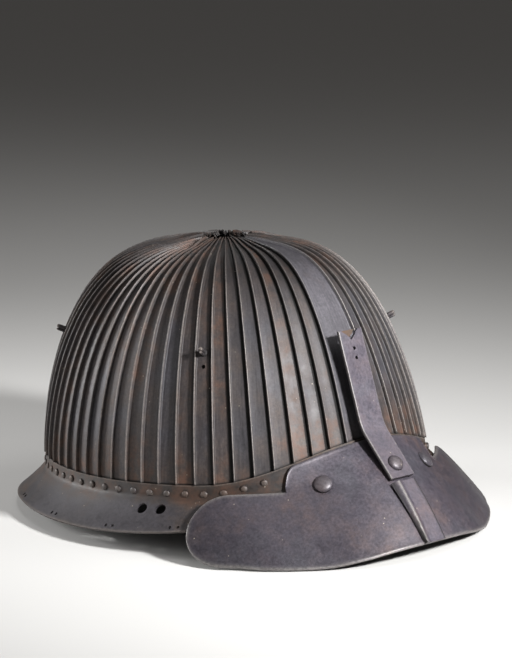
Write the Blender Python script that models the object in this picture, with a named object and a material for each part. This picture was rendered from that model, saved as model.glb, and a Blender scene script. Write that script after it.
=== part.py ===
"""A ribbed iron helmet bowl of 62 plates, with its visor, neck plate and crest holder, standing on a surface.

The helmet is worked out in its own frame: the rim lies in the plane z = 0, the front is towards -Y and the
wearer's right is towards -X. One empty then tilts all of it back until the visor and the neck plate both rest.
"""
import math
from functools import lru_cache

import bmesh
import bpy
from mathutils import Matrix, Vector

# Bowl, over the ribs, in metres and degrees
RIM_WIDTH = 0.2160
FRONT_REACH = 0.1206
REAR_REACH = 0.1274
BOWL_HEIGHT = 0.1271
CROWN_HOLE = 0.0145
BROW_RISE = 0.0187
BROW_HALF_TURN = 52.0

# How full the bowl is: an exponent for the height and one for the reach, at the front, the rear and the side
FULLNESS = {"front": (1.06, 4.18), "rear": (1.69, 3.66), "side": (1.64, 2.86)}

# Plates and their standing ribs
SIDE_PLATES = 30
FRONT_PLATE_WIDTH = 0.0314
REAR_PLATE_WIDTH = 0.0200
PITCH_EASE = 0.04
PLATE_WALL = 0.0018
RIB_HEIGHT = 0.0024
RIB_THICKNESS = 0.0014
RIB_SHARE = 0.42
RIB_AT_CROWN = 0.30
FIT_GAP = 0.0004
PLATE_LEVELS = 8
LEVEL_EASE = 0.88

# Studs on the bowl: which plate carries each pair, and how high
STUDS = (("front", 8, 0.0720), ("rear", 23, 0.0735))
STUD_RADIUS = 0.0016
STUD_LENGTH = 0.0074
STUD_TIP = 0.62
STUD_SPLIT = 0.0007
STUD_HEAD = 0.0010
STUD_COLLAR = 0.0006
CORD_HOLE_RADIUS = 0.0010
CORD_HOLE_BELOW = 0.0085

# Neck plate: an upright margin under the bowl, then a flared skirt
SHEET = 0.0015
COLLAR_HEIGHT = 0.0080
MARGIN_HEIGHT = 0.0078
MARGIN_LEAN = 0.0008
SKIRT_OUT = 0.0177
SKIRT_DROP = 0.0258
SKIRT_FADE = (30.0, 56.0)
BROW_BAND = 0.0235
MARGIN_RIVET_RADIUS = 0.0017
MARGIN_RIVET_HEIGHT = 0.0009
MARGIN_RIVET_BELOW = 0.0047
MARGIN_RIVET_FIRST = 30.0
LARGE_HOLE_RADIUS = 0.0031
LARGE_HOLE_TURNS = (62.7, 68.9)
LARGE_HOLE_SHARE = 0.31
LACE_HOLE_RADIUS = 0.0009
LACE_HOLE_TURNS = (56.7, 77.0, 101.5, 126.0, 152.0, 180.0)
LACE_HOLE_SPACING = 0.0054
LACE_HOLE_SHARE = 0.87

# How far down the skirt's lower edge lies: turn in degrees, share of SKIRT_DROP
SKIRT_EDGE = (
    (40.0, 0.78), (60.0, 0.90), (80.0, 0.975), (100.0, 0.965), (120.0, 0.915),
    (138.0, 0.91), (158.0, 0.96), (180.0, 1.0),
)

# Visor
VISOR_SHEET = 0.0016
VISOR_REACH = 0.0481
VISOR_DROP = 0.0410
VISOR_TURN = 52.3
WING_ROUND_FROM = 41.0
WING_ROUND_POWER = 2.4
WING_TOP_DROP = 0.0040
FLANGE_END = (24.6, 27.4)
FLANGE_UNDER_BOWL = 0.0007
KNEE_PEAK = 0.0190
KNEE_BASE = 0.0034
KNEE_WIDTH = 15.5
KNEE_DROP = 0.0024
BRIM_BULGE = 0.0012
SURFACE_STEP = 0.0005

# The visor's outer edge: turn in degrees, share of VISOR_REACH, share of VISOR_DROP
VISOR_EDGE = (
    (0.0, 1.0, 0.844), (8.0, 0.985, 0.868), (15.0, 0.936, 0.939), (21.0, 0.859, 0.998),
    (28.0, 0.796, 0.998), (35.0, 0.753, 0.976), (41.0, 0.707, 0.944),
)

# Crest holder and the strip below it
HOLDER_WIDTH = 0.0176
HOLDER_SHEET = 0.0019
HOLDER_TOP = 0.0792
HOLDER_BEND_HEIGHT = 0.0246
HOLDER_STANDOFF_TOP = 0.0092
HOLDER_STANDOFF_BEND = 0.0066
HOLDER_FOOT_DROP = 0.0022
HOLDER_BEND_RADIUS = 0.0060
HOLDER_CLEARANCE = 0.00064
HOLDER_HOLE_RADIUS = 0.0011
HOLDER_HOLE_DROPS = (0.0108, 0.0164)
HOLDER_NOTCH = 0.0075
STRIP_TOP_WIDTH = 0.0178
STRIP_END_WIDTH = 0.0148
STRIP_SHEET = 0.0012
STRIP_START_DROP = 0.0036

# Large rivets of the visor
RIVET_RADIUS = 0.0050
RIVET_DOME = 0.0024
RIVET_SHANK = 0.0024
RIVET_SEAT = 0.0014
RIVET_SIDE_TURN = 18.4
RIVET_SIDE_DROP = 0.0031
RIVET_CENTRE_DROP = -0.0055
RIVET_CENTRE_ALONG = 0.0090
RIVET_TAIL = 0.0010
CUT_REACH = 0.0120

IRON = {
    "russet_iron": ((0.085, 0.072, 0.064), 0.55, 0.9),
    "worn_iron": ((0.105, 0.085, 0.072), 0.50, 0.9),
    "dark_iron": ((0.075, 0.072, 0.074), 0.48, 0.9),
}


def iron(name):
    """A Principled material of one of the iron finishes, made once."""
    found = bpy.data.materials.get(name)
    if found:
        return found
    colour, roughness, metallic = IRON[name]
    made = bpy.data.materials.new(name)
    made.use_nodes = True
    shader = made.node_tree.nodes["Principled BSDF"]
    shader.inputs["Base Color"].default_value = (*colour, 1.0)
    shader.inputs["Roughness"].default_value = roughness
    shader.inputs["Metallic"].default_value = metallic
    return made


def smooth_step(value, low, high):
    """0 below low, 1 above high, and a soft ramp between."""
    share = min(1.0, max(0.0, (value - low) / (high - low)))
    return share * share * (3.0 - 2.0 * share)


def along(rows, value, column):
    """A column of a table read at a value of its first column, on a smooth curve through the rows."""
    value = min(max(value, rows[0][0]), rows[-1][0])
    last = max(i for i in range(len(rows) - 1) if rows[i][0] <= value)

    def slope(i):
        before, after = max(i - 1, 0), min(i + 1, len(rows) - 1)
        if i == 0 or i == len(rows) - 1:
            return 0.0
        return (rows[after][column] - rows[before][column]) / (rows[after][0] - rows[before][0])

    span = rows[last + 1][0] - rows[last][0]
    u = (value - rows[last][0]) / span
    start, end = rows[last][column], rows[last + 1][column]
    return (start * (1 + 2 * u) * (1 - u) ** 2 + end * u * u * (3 - 2 * u)
            + span * (slope(last) * u * (1 - u) ** 2 - slope(last + 1) * u * u * (1 - u)))


def rim_radius(turn):
    """How far the rim oval lies from the axis, for a turn in degrees from the front."""
    front, side = math.cos(math.radians(turn)), math.sin(math.radians(turn))
    reach = FRONT_REACH if front > 0 else REAR_REACH
    return 1.0 / math.hypot(front / reach, side / (RIM_WIDTH / 2))


def fullness(turn):
    """The two exponents of the bowl's curve at a turn."""
    front = math.cos(math.radians(turn))
    end = FULLNESS["front" if front > 0 else "rear"]
    return [side + (full - side) * front * front for full, side in zip(end, FULLNESS["side"])]


def dome_radius(turn, height):
    """How far the bowl lies from the axis at a height."""
    rise_power, reach_power = fullness(turn)
    level = min(1.0, max(0.0, height / BOWL_HEIGHT))
    return rim_radius(turn) * (1.0 - level ** rise_power) ** (1.0 / reach_power)


def around(turn, radius, height):
    """The point at a turn from the front, positive to the wearer's right."""
    angle = math.radians(turn)
    return Vector((-radius * math.sin(angle), -radius * math.cos(angle), height))


def dome_point(turn, angle):
    """The bowl's outer surface at a climb angle in degrees, 0 at the rim plane and 90 at the crown."""
    rise_power, reach_power = fullness(turn)
    climb = math.radians(max(angle, 0.0))
    radius = rim_radius(turn) * math.cos(climb) ** (2.0 / reach_power)
    return around(turn, radius, BOWL_HEIGHT * math.sin(climb) ** (2.0 / rise_power))


def dome_out(turn, angle):
    """The direction that points straight out of the bowl."""
    step = 1.5
    across = dome_point(turn + step, angle) - dome_point(turn - step, angle)
    upward = dome_point(turn, min(angle + step, 89.9)) - dome_point(turn, max(angle - step, 0.0))
    out = upward.cross(across).normalized()
    return out if out.dot(dome_point(turn, angle)) > 0 else -out


def bowl_spot(turn, angle, proud):
    return dome_point(turn, angle) + dome_out(turn, angle) * proud


def climb_at_height(turn, height):
    rise_power, _ = fullness(turn)
    return math.degrees(math.asin((height / BOWL_HEIGHT) ** (rise_power / 2.0)))


def climb_at_crown(turn):
    _, reach_power = fullness(turn)
    return math.degrees(math.acos((CROWN_HOLE / rim_radius(turn)) ** (reach_power / 2.0)))


def brow_rise(turn):
    """How high the plates' lower ends lie over the rim plane: the brow is cut up at the front."""
    turn = abs(turn)
    if turn >= BROW_HALF_TURN:
        return 0.0
    return BROW_RISE * math.cos(math.radians(90.0 * turn / BROW_HALF_TURN)) ** 2


def rim_distance_table():
    """Distance along the rim from the front, by the half degree."""
    distance, table = 0.0, [(0.0, 0.0)]
    for half in range(1, 361):
        step = around(half / 2, rim_radius(half / 2), 0) - around((half - 1) / 2, rim_radius((half - 1) / 2), 0)
        distance += step.length
        table.append((distance, half / 2))
    return table


RIM_TABLE = rim_distance_table()
HALF_RIM = RIM_TABLE[-1][0]


def turn_at(distance):
    """The turn that lies a distance along the rim from the front."""
    for (near, low), (far, high) in zip(RIM_TABLE, RIM_TABLE[1:]):
        if distance <= far:
            return low + (high - low) * (distance - near) / (far - near)
    return 180.0


def plate_edge(index):
    """The turn where side plate number index ends; 0 is the front plate's edge."""
    pitch = (HALF_RIM - FRONT_PLATE_WIDTH / 2 - REAR_PLATE_WIDTH / 2) / SIDE_PLATES
    eased = index + PITCH_EASE * (index - index * index / SIDE_PLATES)
    return turn_at(FRONT_PLATE_WIDTH / 2 + pitch * eased)


def plate_middle(index):
    return (plate_edge(index - 1) + plate_edge(index)) / 2


@lru_cache(maxsize=None)
def climb_levels(turn):
    """The climb angle of each level at a turn, evenly spaced over the bowl from its lower end to the crown hole."""
    low, high = climb_at_height(turn, brow_rise(turn)), climb_at_crown(turn)
    angles = [low + (high - low) * (1.0 - (1.0 - k / 40) ** 2) for k in range(41)]
    points = [dome_point(turn, angle) for angle in angles]
    lengths = [0.0]
    for before, after in zip(points, points[1:]):
        lengths.append(lengths[-1] + (after - before).length)
    levels = []
    for level in range(PLATE_LEVELS + 1):
        wanted = lengths[-1] * (level / PLATE_LEVELS) ** LEVEL_EASE
        k = min(max(i for i in range(41) if lengths[i] <= wanted + 1e-9), 39)
        share = (wanted - lengths[k]) / (lengths[k + 1] - lengths[k])
        levels.append(angles[k] + (angles[k + 1] - angles[k]) * share)
    return levels


def level_angle(turn, level):
    return climb_levels(round(turn, 6))[level]


def rib_proud(level):
    """How far a rib stands over its plate: full over most of the bowl, and low at the crown."""
    fade = 1.0 - (1.0 - RIB_AT_CROWN) * smooth_step(level / PLATE_LEVELS, 0.55, 1.0)
    return RIB_HEIGHT * fade


def turned(turn, level, width):
    """A width along the bowl at a level, as degrees of turn."""
    radius = math.hypot(*dome_point(turn, level_angle(turn, level)).xy)
    return math.degrees(width / radius)


def panel_columns(edges, ribs, level):
    """The outer points of a panel at one level: its plates from edge to edge, with a rib before each marked edge."""
    columns = []
    base, top = -RIB_HEIGHT, rib_proud(level) - RIB_HEIGHT
    first = edges[0] + turned(edges[0], level, FIT_GAP / 2)
    last = edges[-1] - turned(edges[-1], level, FIT_GAP / 2)
    spots = [first, *edges[1:-1], last]
    for start, end, rib in zip(spots, spots[1:], ribs):
        width = min(turned(end, level, RIB_THICKNESS), RIB_SHARE * (end - start))
        if rib == "none":
            columns += [(start, base)]
        elif rib == "near":
            columns += [(start, top), (start + width, top), (start + width, base)]
        else:
            columns += [(start, base), (end - width, base), (end - width, top), (end, top)]
    if ribs[-1] != "far":
        columns += [(last, base)]
    return columns, spots


def make_panel(name, edges, ribs, side):
    """A closed solid of neighbouring plates, lofted from the rim to the crown hole."""
    mesh = bmesh.new()
    outer, inner = [], []
    for level in range(PLATE_LEVELS + 1):
        columns, spots = panel_columns(edges, ribs, level)
        row = [mesh.verts.new(bowl_spot(side * turn, level_angle(turn, level), proud)) for turn, proud in columns]
        wall = -RIB_HEIGHT - PLATE_WALL
        back = [mesh.verts.new(bowl_spot(side * turn, level_angle(turn, level), wall)) for turn in spots]
        outer.append(row)
        inner.append(back)
    for below, above in zip(outer, outer[1:]):
        for i in range(len(below) - 1):
            mesh.faces.new((below[i], below[i + 1], above[i + 1], above[i]))
    for below, above in zip(inner, inner[1:]):
        for i in range(len(below) - 1):
            mesh.faces.new((below[i], above[i], above[i + 1], below[i + 1]))
    for level in range(PLATE_LEVELS):
        for end in (0, -1):
            mesh.faces.new((outer[level][end], inner[level][end], inner[level + 1][end], outer[level + 1][end]))
    for level in (0, PLATE_LEVELS):
        place = 0
        for plate, rib in enumerate(ribs):
            count = {"none": 1, "near": 3, "far": 4}[rib]
            stop = min(place + count, len(outer[level]) - 1)
            ring = outer[level][place:stop + 1]
            mesh.faces.new((*ring, inner[level][plate + 1], inner[level][plate]))
            place += count
    bmesh.ops.recalc_face_normals(mesh, faces=mesh.faces)
    return finish(name, mesh, "russet_iron")


def finish(name, mesh, material, sharp=35.0):
    """Turn a bmesh into a named object in the helmet's frame."""
    data = bpy.data.meshes.new(name)
    mesh.to_mesh(data)
    mesh.free()
    data.materials.append(iron(material))
    data.shade_smooth()
    data.set_sharp_from_angle(angle=math.radians(sharp))
    made = bpy.data.objects.new(name, data)
    bpy.context.scene.collection.objects.link(made)
    made.parent = HELMET
    return made


def facing(place, direction):
    """The transform that puts local +Z along a direction at a place."""
    return Matrix.Translation(place) @ direction.to_track_quat("Z", "Y").to_matrix().to_4x4()


def pin_mesh(rings, sides):
    """A turned solid along +Z from rings of radius and height, closed at both ends."""
    mesh = bmesh.new()
    rows = []
    for radius, height in rings:
        row = []
        for k in range(sides):
            angle = 2 * math.pi * k / sides
            row.append(mesh.verts.new((radius * math.cos(angle), radius * math.sin(angle), height)))
        rows.append(row)
    for below, above in zip(rows, rows[1:]):
        for k in range(sides):
            mesh.faces.new((below[k], below[(k + 1) % sides], above[(k + 1) % sides], above[k]))
    mesh.faces.new(rows[0][::-1])
    mesh.faces.new(rows[-1])
    return mesh


def cutter(name, parts):
    """One hidden cutting object from several meshes in the helmet's frame."""
    data = bpy.data.meshes.new(name)
    mesh = bmesh.new()
    for part, place in parts:
        part.transform(place)
        lump = bpy.data.meshes.new("lump")
        part.to_mesh(lump)
        part.free()
        mesh.from_mesh(lump)
        bpy.data.meshes.remove(lump)
    mesh.to_mesh(data)
    mesh.free()
    made = bpy.data.objects.new(name, data)
    bpy.context.scene.collection.objects.link(made)
    made.parent = HELMET
    made.hide_render = True
    made.display_type = "WIRE"
    return made


def combine(made, other, operation):
    """A Boolean modifier that cuts with, or joins on, another object."""
    change = made.modifiers.new(operation.lower(), "BOOLEAN")
    change.operation = operation
    change.object = other
    change.solver = "EXACT"


def thicken(made, thickness):
    """Give a sheet its thickness, inwards from the surface that was drawn."""
    wall = made.modifiers.new("thickness", "SOLIDIFY")
    wall.thickness = thickness
    wall.offset = -1.0
    wall.use_even_offset = True


# The bowl

def stud_place(side, plate, height):
    turn = side * plate_middle(plate)
    angle = climb_at_height(turn, height)
    return turn, angle


def make_bowl():
    edges = [plate_edge(i) for i in range(SIDE_PLATES + 1)]
    front = [-edges[0] + 2 * edges[0] * k / 4 for k in range(5)]
    make_panel("front_plate", front, ["near", "none", "none", "far"], 1)
    rear_half = 180.0 - edges[-1]
    rear = [edges[-1] + 2 * rear_half * k / 4 for k in range(5)]
    make_panel("rear_plate", rear, ["none"] * 4, 1)
    half = SIDE_PLATES // 2
    for side, hand in ((1, "right"), (-1, "left")):
        for start, end, where in ((0, half, "front"), (half, SIDE_PLATES, "rear")):
            panel = make_panel(f"{hand}_{where}_plates", edges[start:end + 1], ["far"] * (end - start), side)
            holes = []
            for place, plate, height in STUDS:
                if place != where:
                    continue
                turn, angle = stud_place(side, plate, height)
                reach = 4 * (RIB_HEIGHT + PLATE_WALL)
                hole = pin_mesh(((STUD_RADIUS + FIT_GAP, -reach), (STUD_RADIUS + FIT_GAP, reach)), 12)
                holes.append((hole, facing(dome_point(turn, angle), dome_out(turn, angle))))
                below = climb_at_height(turn, height - CORD_HOLE_BELOW)
                hole = pin_mesh(((CORD_HOLE_RADIUS, -reach), (CORD_HOLE_RADIUS, reach)), 10)
                holes.append((hole, facing(dome_point(turn, below), dome_out(turn, below))))
            combine(panel, cutter(f"{hand}_{where}_holes", holes), "DIFFERENCE")


def make_stud(name, side, plate, height):
    """A split pin: a flat head inside, a shank through the plate and two tapering prongs outside."""
    turn, angle = stud_place(side, plate, height)
    surface = -RIB_HEIGHT
    inside = surface - PLATE_WALL - FIT_GAP
    seat = surface + FIT_GAP
    rings = (
        (STUD_RADIUS * 1.8, inside - STUD_HEAD), (STUD_RADIUS * 1.8, inside), (STUD_RADIUS, inside),
        (STUD_RADIUS, seat), (STUD_RADIUS * 1.35, seat), (STUD_RADIUS * 1.25, seat + STUD_COLLAR),
        (STUD_RADIUS, seat + STUD_COLLAR * 1.6), (STUD_RADIUS * 0.92, seat + STUD_LENGTH * 0.7),
        (STUD_RADIUS * STUD_TIP, seat + STUD_LENGTH),
    )
    place = facing(dome_point(turn, angle), dome_out(turn, angle))
    mesh = pin_mesh(rings, 10)
    mesh.transform(place)
    made = finish(name, mesh, "worn_iron")
    split = bmesh.new()
    bmesh.ops.create_cube(split, size=1.0)
    split.transform(Matrix.Diagonal((STUD_SPLIT, STUD_RADIUS * 3, STUD_LENGTH, 1.0)))
    split.transform(Matrix.Translation((0, 0, seat + STUD_LENGTH * 1.05)))
    combine(made, cutter(f"{name}_split", [(split, place)]), "DIFFERENCE")


# The visor

def knee_out(turn):
    """How far out the visor's surface is where the upright flange turns into the brim."""
    return KNEE_BASE + KNEE_PEAK * math.exp(-(turn / KNEE_WIDTH) ** 2)


def brim_edge(turn):
    """Reach and drop of the brim's outer edge, before its end is rounded off."""
    turn = min(abs(turn), VISOR_EDGE[-1][0])
    return VISOR_REACH * along(VISOR_EDGE, turn, 1), VISOR_DROP * along(VISOR_EDGE, turn, 2)


def visor_out(turn, drop):
    """How far outside the rim oval the visor's surface lies, a drop below the rim plane."""
    turn = abs(turn)
    knee = knee_out(turn)
    if drop < KNEE_DROP:
        top = -brow_rise(turn)
        start = dome_radius(turn, -top) - rim_radius(turn)
        share = (drop - top) / (KNEE_DROP - top)
        return start + (knee - start) * share
    reach, edge = brim_edge(turn)
    share = (drop - KNEE_DROP) / (edge - KNEE_DROP)
    return knee + (reach - knee) * share + BRIM_BULGE * math.sin(math.pi * min(share, 1.0))


def visor_span(turn):
    """The drops of the visor's upper and lower edge at a turn."""
    turn = abs(turn)
    _, low = brim_edge(turn)
    high = FLANGE_UNDER_BOWL - brow_rise(turn)
    if turn > FLANGE_END[0]:
        share = min(1.0, (turn - FLANGE_END[0]) / (FLANGE_END[1] - FLANGE_END[0]))
        high += (WING_TOP_DROP - high) * (1.0 - math.sqrt(1.0 - share * share))
    if turn > WING_ROUND_FROM:
        share = (turn - WING_ROUND_FROM) / (VISOR_TURN - WING_ROUND_FROM)
        half = (low - high) / 2 * math.sqrt(max(0.0, 1.0 - share ** WING_ROUND_POWER))
        middle = (low + high) / 2
        high, low = middle - half, middle + half
    return high, low


def out_of_rim(turn, out, drop):
    """A point beside the rim oval, out along its normal and a drop below the rim plane."""
    step = 0.5
    before = around(turn - step, rim_radius(turn - step), 0.0)
    after = around(turn + step, rim_radius(turn + step), 0.0)
    normal = (after - before).cross(Vector((0, 0, 1))).normalized()
    if normal.dot(after) < 0:
        normal = -normal
    return around(turn, rim_radius(turn), -drop) + normal * out


def visor_point(turn, drop):
    return out_of_rim(turn, visor_out(turn, drop), drop)


def visor_normal(turn, drop):
    step = SURFACE_STEP
    down = visor_point(turn, drop + step) - visor_point(turn, drop - step)
    across = visor_point(turn + 0.2, drop) - visor_point(turn - 0.2, drop)
    normal = down.cross(across).normalized()
    return normal if normal.z > 0 else -normal


def visor_turns():
    """Stations across one half of the visor, close together where its outline turns."""
    middle = [FLANGE_END[0] * k / 8 for k in range(9)]
    notch = [FLANGE_END[0] + (FLANGE_END[1] - FLANGE_END[0]) * s for s in (0.45, 0.75, 0.92, 1.0)]
    wing = [FLANGE_END[1] + (WING_ROUND_FROM - FLANGE_END[1]) * k / 4 for k in range(1, 5)]
    span = VISOR_TURN - WING_ROUND_FROM
    end = [WING_ROUND_FROM + span * math.sin(math.radians(90.0 * k / 7)) for k in range(1, 7)]
    return middle + notch + wing + end


def rivet_hole(turn, drop, radius):
    """A short cutter through the sheets at a rivet of the visor."""
    hole = pin_mesh(((radius, -CUT_REACH), (radius, CUT_REACH)), 12)
    return hole, rivet_frame(turn, drop)


def rivet_places():
    side = (RIVET_SIDE_TURN, RIVET_SIDE_DROP)
    return (("right", side), ("left", (-side[0], side[1])), ("centre", (0.0, RIVET_CENTRE_DROP)))


def make_visor():
    half = visor_turns()
    turns = [-turn for turn in half[:0:-1]] + half
    rows = 6
    mesh = bmesh.new()
    grid = []
    for turn in turns:
        high, low = visor_span(turn)
        grid.append([mesh.verts.new(visor_point(turn, high + (low - high) * k / rows)) for k in range(rows + 1)])
    for left, right in zip(grid, grid[1:]):
        for k in range(rows):
            mesh.faces.new((left[k], left[k + 1], right[k + 1], right[k]))
    high, low = visor_span(VISOR_TURN)
    for side, column in ((-1, grid[0]), (1, grid[-1])):
        tip = mesh.verts.new(visor_point(side * VISOR_TURN, (high + low) / 2))
        for k in range(rows):
            mesh.faces.new((column[k], column[k + 1], tip))
    bmesh.ops.recalc_face_normals(mesh, faces=mesh.faces)
    middle = min(mesh.faces, key=lambda face: face.calc_center_median().y)
    if middle.normal.z < 0:
        bmesh.ops.reverse_faces(mesh, faces=mesh.faces)
    made = finish("visor", mesh, "dark_iron")
    thicken(made, VISOR_SHEET)
    holes = [rivet_hole(turn, drop, RIVET_SHANK + FIT_GAP) for _, (turn, drop) in rivet_places()]
    combine(made, cutter("visor_holes", holes), "DIFFERENCE")


# The neck plate

def skirt_section(turn):
    """The neck plate's surface at a turn as out and drop, from the collar inside the bowl to its lower edge."""
    size = abs(turn)
    rise = brow_rise(turn)
    lean = dome_radius(turn, rise + COLLAR_HEIGHT) - rim_radius(turn)
    foot = dome_radius(turn, rise) - rim_radius(turn)
    slope = math.atan2(foot - lean, COLLAR_HEIGHT)
    tuck = -(RIB_HEIGHT + PLATE_WALL) / math.cos(slope) - FIT_GAP
    lip = (RIB_HEIGHT + PLATE_WALL) * math.sin(slope) + FIT_GAP
    upper = [(tuck + lean - FIT_GAP, -rise - COLLAR_HEIGHT), (tuck + foot, lip - rise)]
    drop = SKIRT_DROP * along(SKIRT_EDGE, size, 1)
    rear = [(tuck + MARGIN_LEAN, MARGIN_HEIGHT - rise)]
    for share in (0.08, 0.33, 0.66, 1.0):
        out = rear[0][0] + (SKIRT_OUT - rear[0][0]) * share ** 1.08
        rear.append((out, rear[0][1] + (drop - rear[0][1]) * share))
    front = []
    clear = VISOR_SHEET + 2 * FIT_GAP
    for share in (0.16, 0.36, 0.57, 0.78, 1.0):
        down = BROW_BAND * share - rise
        normal = visor_normal(turn, down)
        slant = math.hypot(normal.x, normal.y)
        follow = visor_out(turn, down) - clear / max(slant, 0.5)
        front.append((max(follow, tuck), down))
    blend = smooth_step(size, *SKIRT_FADE)
    return upper + [(a[0] + (b[0] - a[0]) * blend, a[1] + (b[1] - a[1]) * blend) for a, b in zip(front, rear)]


def skirt_point(turn, share):
    """A point on the flared skirt, a share of the way from the margin to the edge."""
    section = skirt_section(turn)[2:]
    place = share * (len(section) - 1)
    drops = [drop for _, drop in section]
    target = drops[0] + (drops[-1] - drops[0]) * share
    for (out_a, drop_a), (out_b, drop_b) in zip(section, section[1:]):
        if target <= drop_b or (out_b, drop_b) == section[-1]:
            part = (target - drop_a) / (drop_b - drop_a)
            return out_of_rim(turn, out_a + (out_b - out_a) * part, target)
    return out_of_rim(turn, *section[int(place)])


def skirt_normal(turn, share):
    down = skirt_point(turn, share + 0.02) - skirt_point(turn, share - 0.02)
    across = skirt_point(turn + 0.5, share) - skirt_point(turn - 0.5, share)
    normal = down.cross(across).normalized()
    return normal if normal.z > 0 else -normal


def make_neck_plate():
    mesh = bmesh.new()
    stations = 60
    grid = []
    for k in range(stations):
        turn = -180.0 + 360.0 * k / stations
        grid.append([mesh.verts.new(out_of_rim(turn, out, drop)) for out, drop in skirt_section(turn)])
    for k in range(stations):
        left, right = grid[k], grid[(k + 1) % stations]
        for i in range(len(left) - 1):
            mesh.faces.new((left[i], right[i], right[i + 1], left[i + 1]))
    bmesh.ops.recalc_face_normals(mesh, faces=mesh.faces)
    probe = max(mesh.faces, key=lambda face: face.calc_center_median().y)
    if probe.normal.y < 0:
        bmesh.ops.reverse_faces(mesh, faces=mesh.faces)
    made = finish("neck_plate", mesh, "worn_iron")
    thicken(made, SHEET)
    combine(made, margin_rivets(), "UNION")
    combine(made, neck_holes(), "DIFFERENCE")


def margin_rivets():
    """The small rivets of the upright margin, one below each plate from the visor round the back."""
    rivets = []
    for side in (1, -1):
        for index in range(1, SIDE_PLATES + 1):
            turn = side * plate_middle(index)
            if abs(turn) < MARGIN_RIVET_FIRST:
                continue
            rivets.append(margin_rivet(turn))
    rivets.append(margin_rivet(180.0))
    return cutter("margin_rivets", rivets)


def margin_rivet(turn):
    section = skirt_section(turn)
    (out_a, drop_a), (out_b, drop_b) = section[1], section[2]
    drop = MARGIN_RIVET_BELOW - brow_rise(turn)
    out = out_a + (out_b - out_a) * min(1.0, (drop - drop_a) / (drop_b - drop_a))
    place = out_of_rim(turn, out, drop)
    away = out_of_rim(turn, out + SKIRT_OUT, drop) - place
    head = pin_mesh(((MARGIN_RIVET_RADIUS, -SHEET / 3), (MARGIN_RIVET_RADIUS * 0.6, MARGIN_RIVET_HEIGHT)), 7)
    return head, facing(place, away.normalized())


def neck_holes():
    holes = []
    reach = 4 * SHEET
    for side in (1, -1):
        for turn in LARGE_HOLE_TURNS:
            hole = pin_mesh(((LARGE_HOLE_RADIUS, -reach), (LARGE_HOLE_RADIUS, reach)), 12)
            place = skirt_point(side * turn, LARGE_HOLE_SHARE)
            holes.append((hole, facing(place, skirt_normal(side * turn, LARGE_HOLE_SHARE))))
        for turn in LACE_HOLE_TURNS:
            if turn == 180.0 and side < 0:
                continue
            half = math.degrees(LACE_HOLE_SPACING / 2 / (rim_radius(turn) + SKIRT_OUT))
            for near in (side * turn - half, side * turn + half):
                hole = pin_mesh(((LACE_HOLE_RADIUS, -reach), (LACE_HOLE_RADIUS, reach)), 6)
                place = skirt_point(near, LACE_HOLE_SHARE)
                holes.append((hole, facing(place, skirt_normal(near, LACE_HOLE_SHARE))))
    holes += [rivet_hole(turn, drop, RIVET_SHANK + FIT_GAP) for _, (turn, drop) in rivet_places()]
    return cutter("neck_holes", holes)


# The crest holder, the strip and the large rivets

def holder_line():
    """The holder's back face in the middle plane as y and z: foot end, bend and top."""
    bend_y = -dome_radius(0.0, HOLDER_BEND_HEIGHT) - HOLDER_STANDOFF_BEND + HOLDER_SHEET
    top_y = -dome_radius(0.0, HOLDER_TOP) - HOLDER_STANDOFF_TOP + HOLDER_SHEET
    foot = visor_point(0.0, HOLDER_FOOT_DROP)
    lift = visor_normal(0.0, HOLDER_FOOT_DROP) * HOLDER_CLEARANCE
    return (foot.y + lift.y, foot.z + lift.z), (bend_y, HOLDER_BEND_HEIGHT), (top_y, HOLDER_TOP)


def strip_of(name, line, widths, thickness, material):
    """A bent flat strip from its back face's line in the middle plane."""
    mesh = bmesh.new()
    normals = []
    for i in range(len(line)):
        near, far = line[max(i - 1, 0)], line[min(i + 1, len(line) - 1)]
        length = math.hypot(far[0] - near[0], far[1] - near[1])
        normals.append((-(far[1] - near[1]) / length, (far[0] - near[0]) / length))
    rows = []
    for (y, z), (out_y, out_z), width in zip(line, normals, widths):
        front = (y + out_y * thickness, z + out_z * thickness)
        corners = ((-width / 2, y, z), (width / 2, y, z), (width / 2, *front), (-width / 2, *front))
        rows.append([mesh.verts.new(corner) for corner in corners])
    for below, above in zip(rows, rows[1:]):
        for k in range(4):
            mesh.faces.new((below[k], below[(k + 1) % 4], above[(k + 1) % 4], above[k]))
    mesh.faces.new(rows[0][::-1])
    mesh.faces.new(rows[-1])
    bmesh.ops.recalc_face_normals(mesh, faces=mesh.faces)
    return finish(name, mesh, material)


def rounded_bend(foot, bend, top, radius, steps=4):
    """The holder's line with its bend rounded off."""
    before = Vector(foot) - Vector(bend)
    after = Vector(top) - Vector(bend)
    start = Vector(bend) + before.normalized() * radius
    end = Vector(bend) + after.normalized() * radius
    curve = []
    for k in range(steps + 1):
        u = k / steps
        curve.append(tuple(start * (1 - u) ** 2 + Vector(bend) * 2 * u * (1 - u) + end * u * u))
    return [foot, *curve, top]


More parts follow.
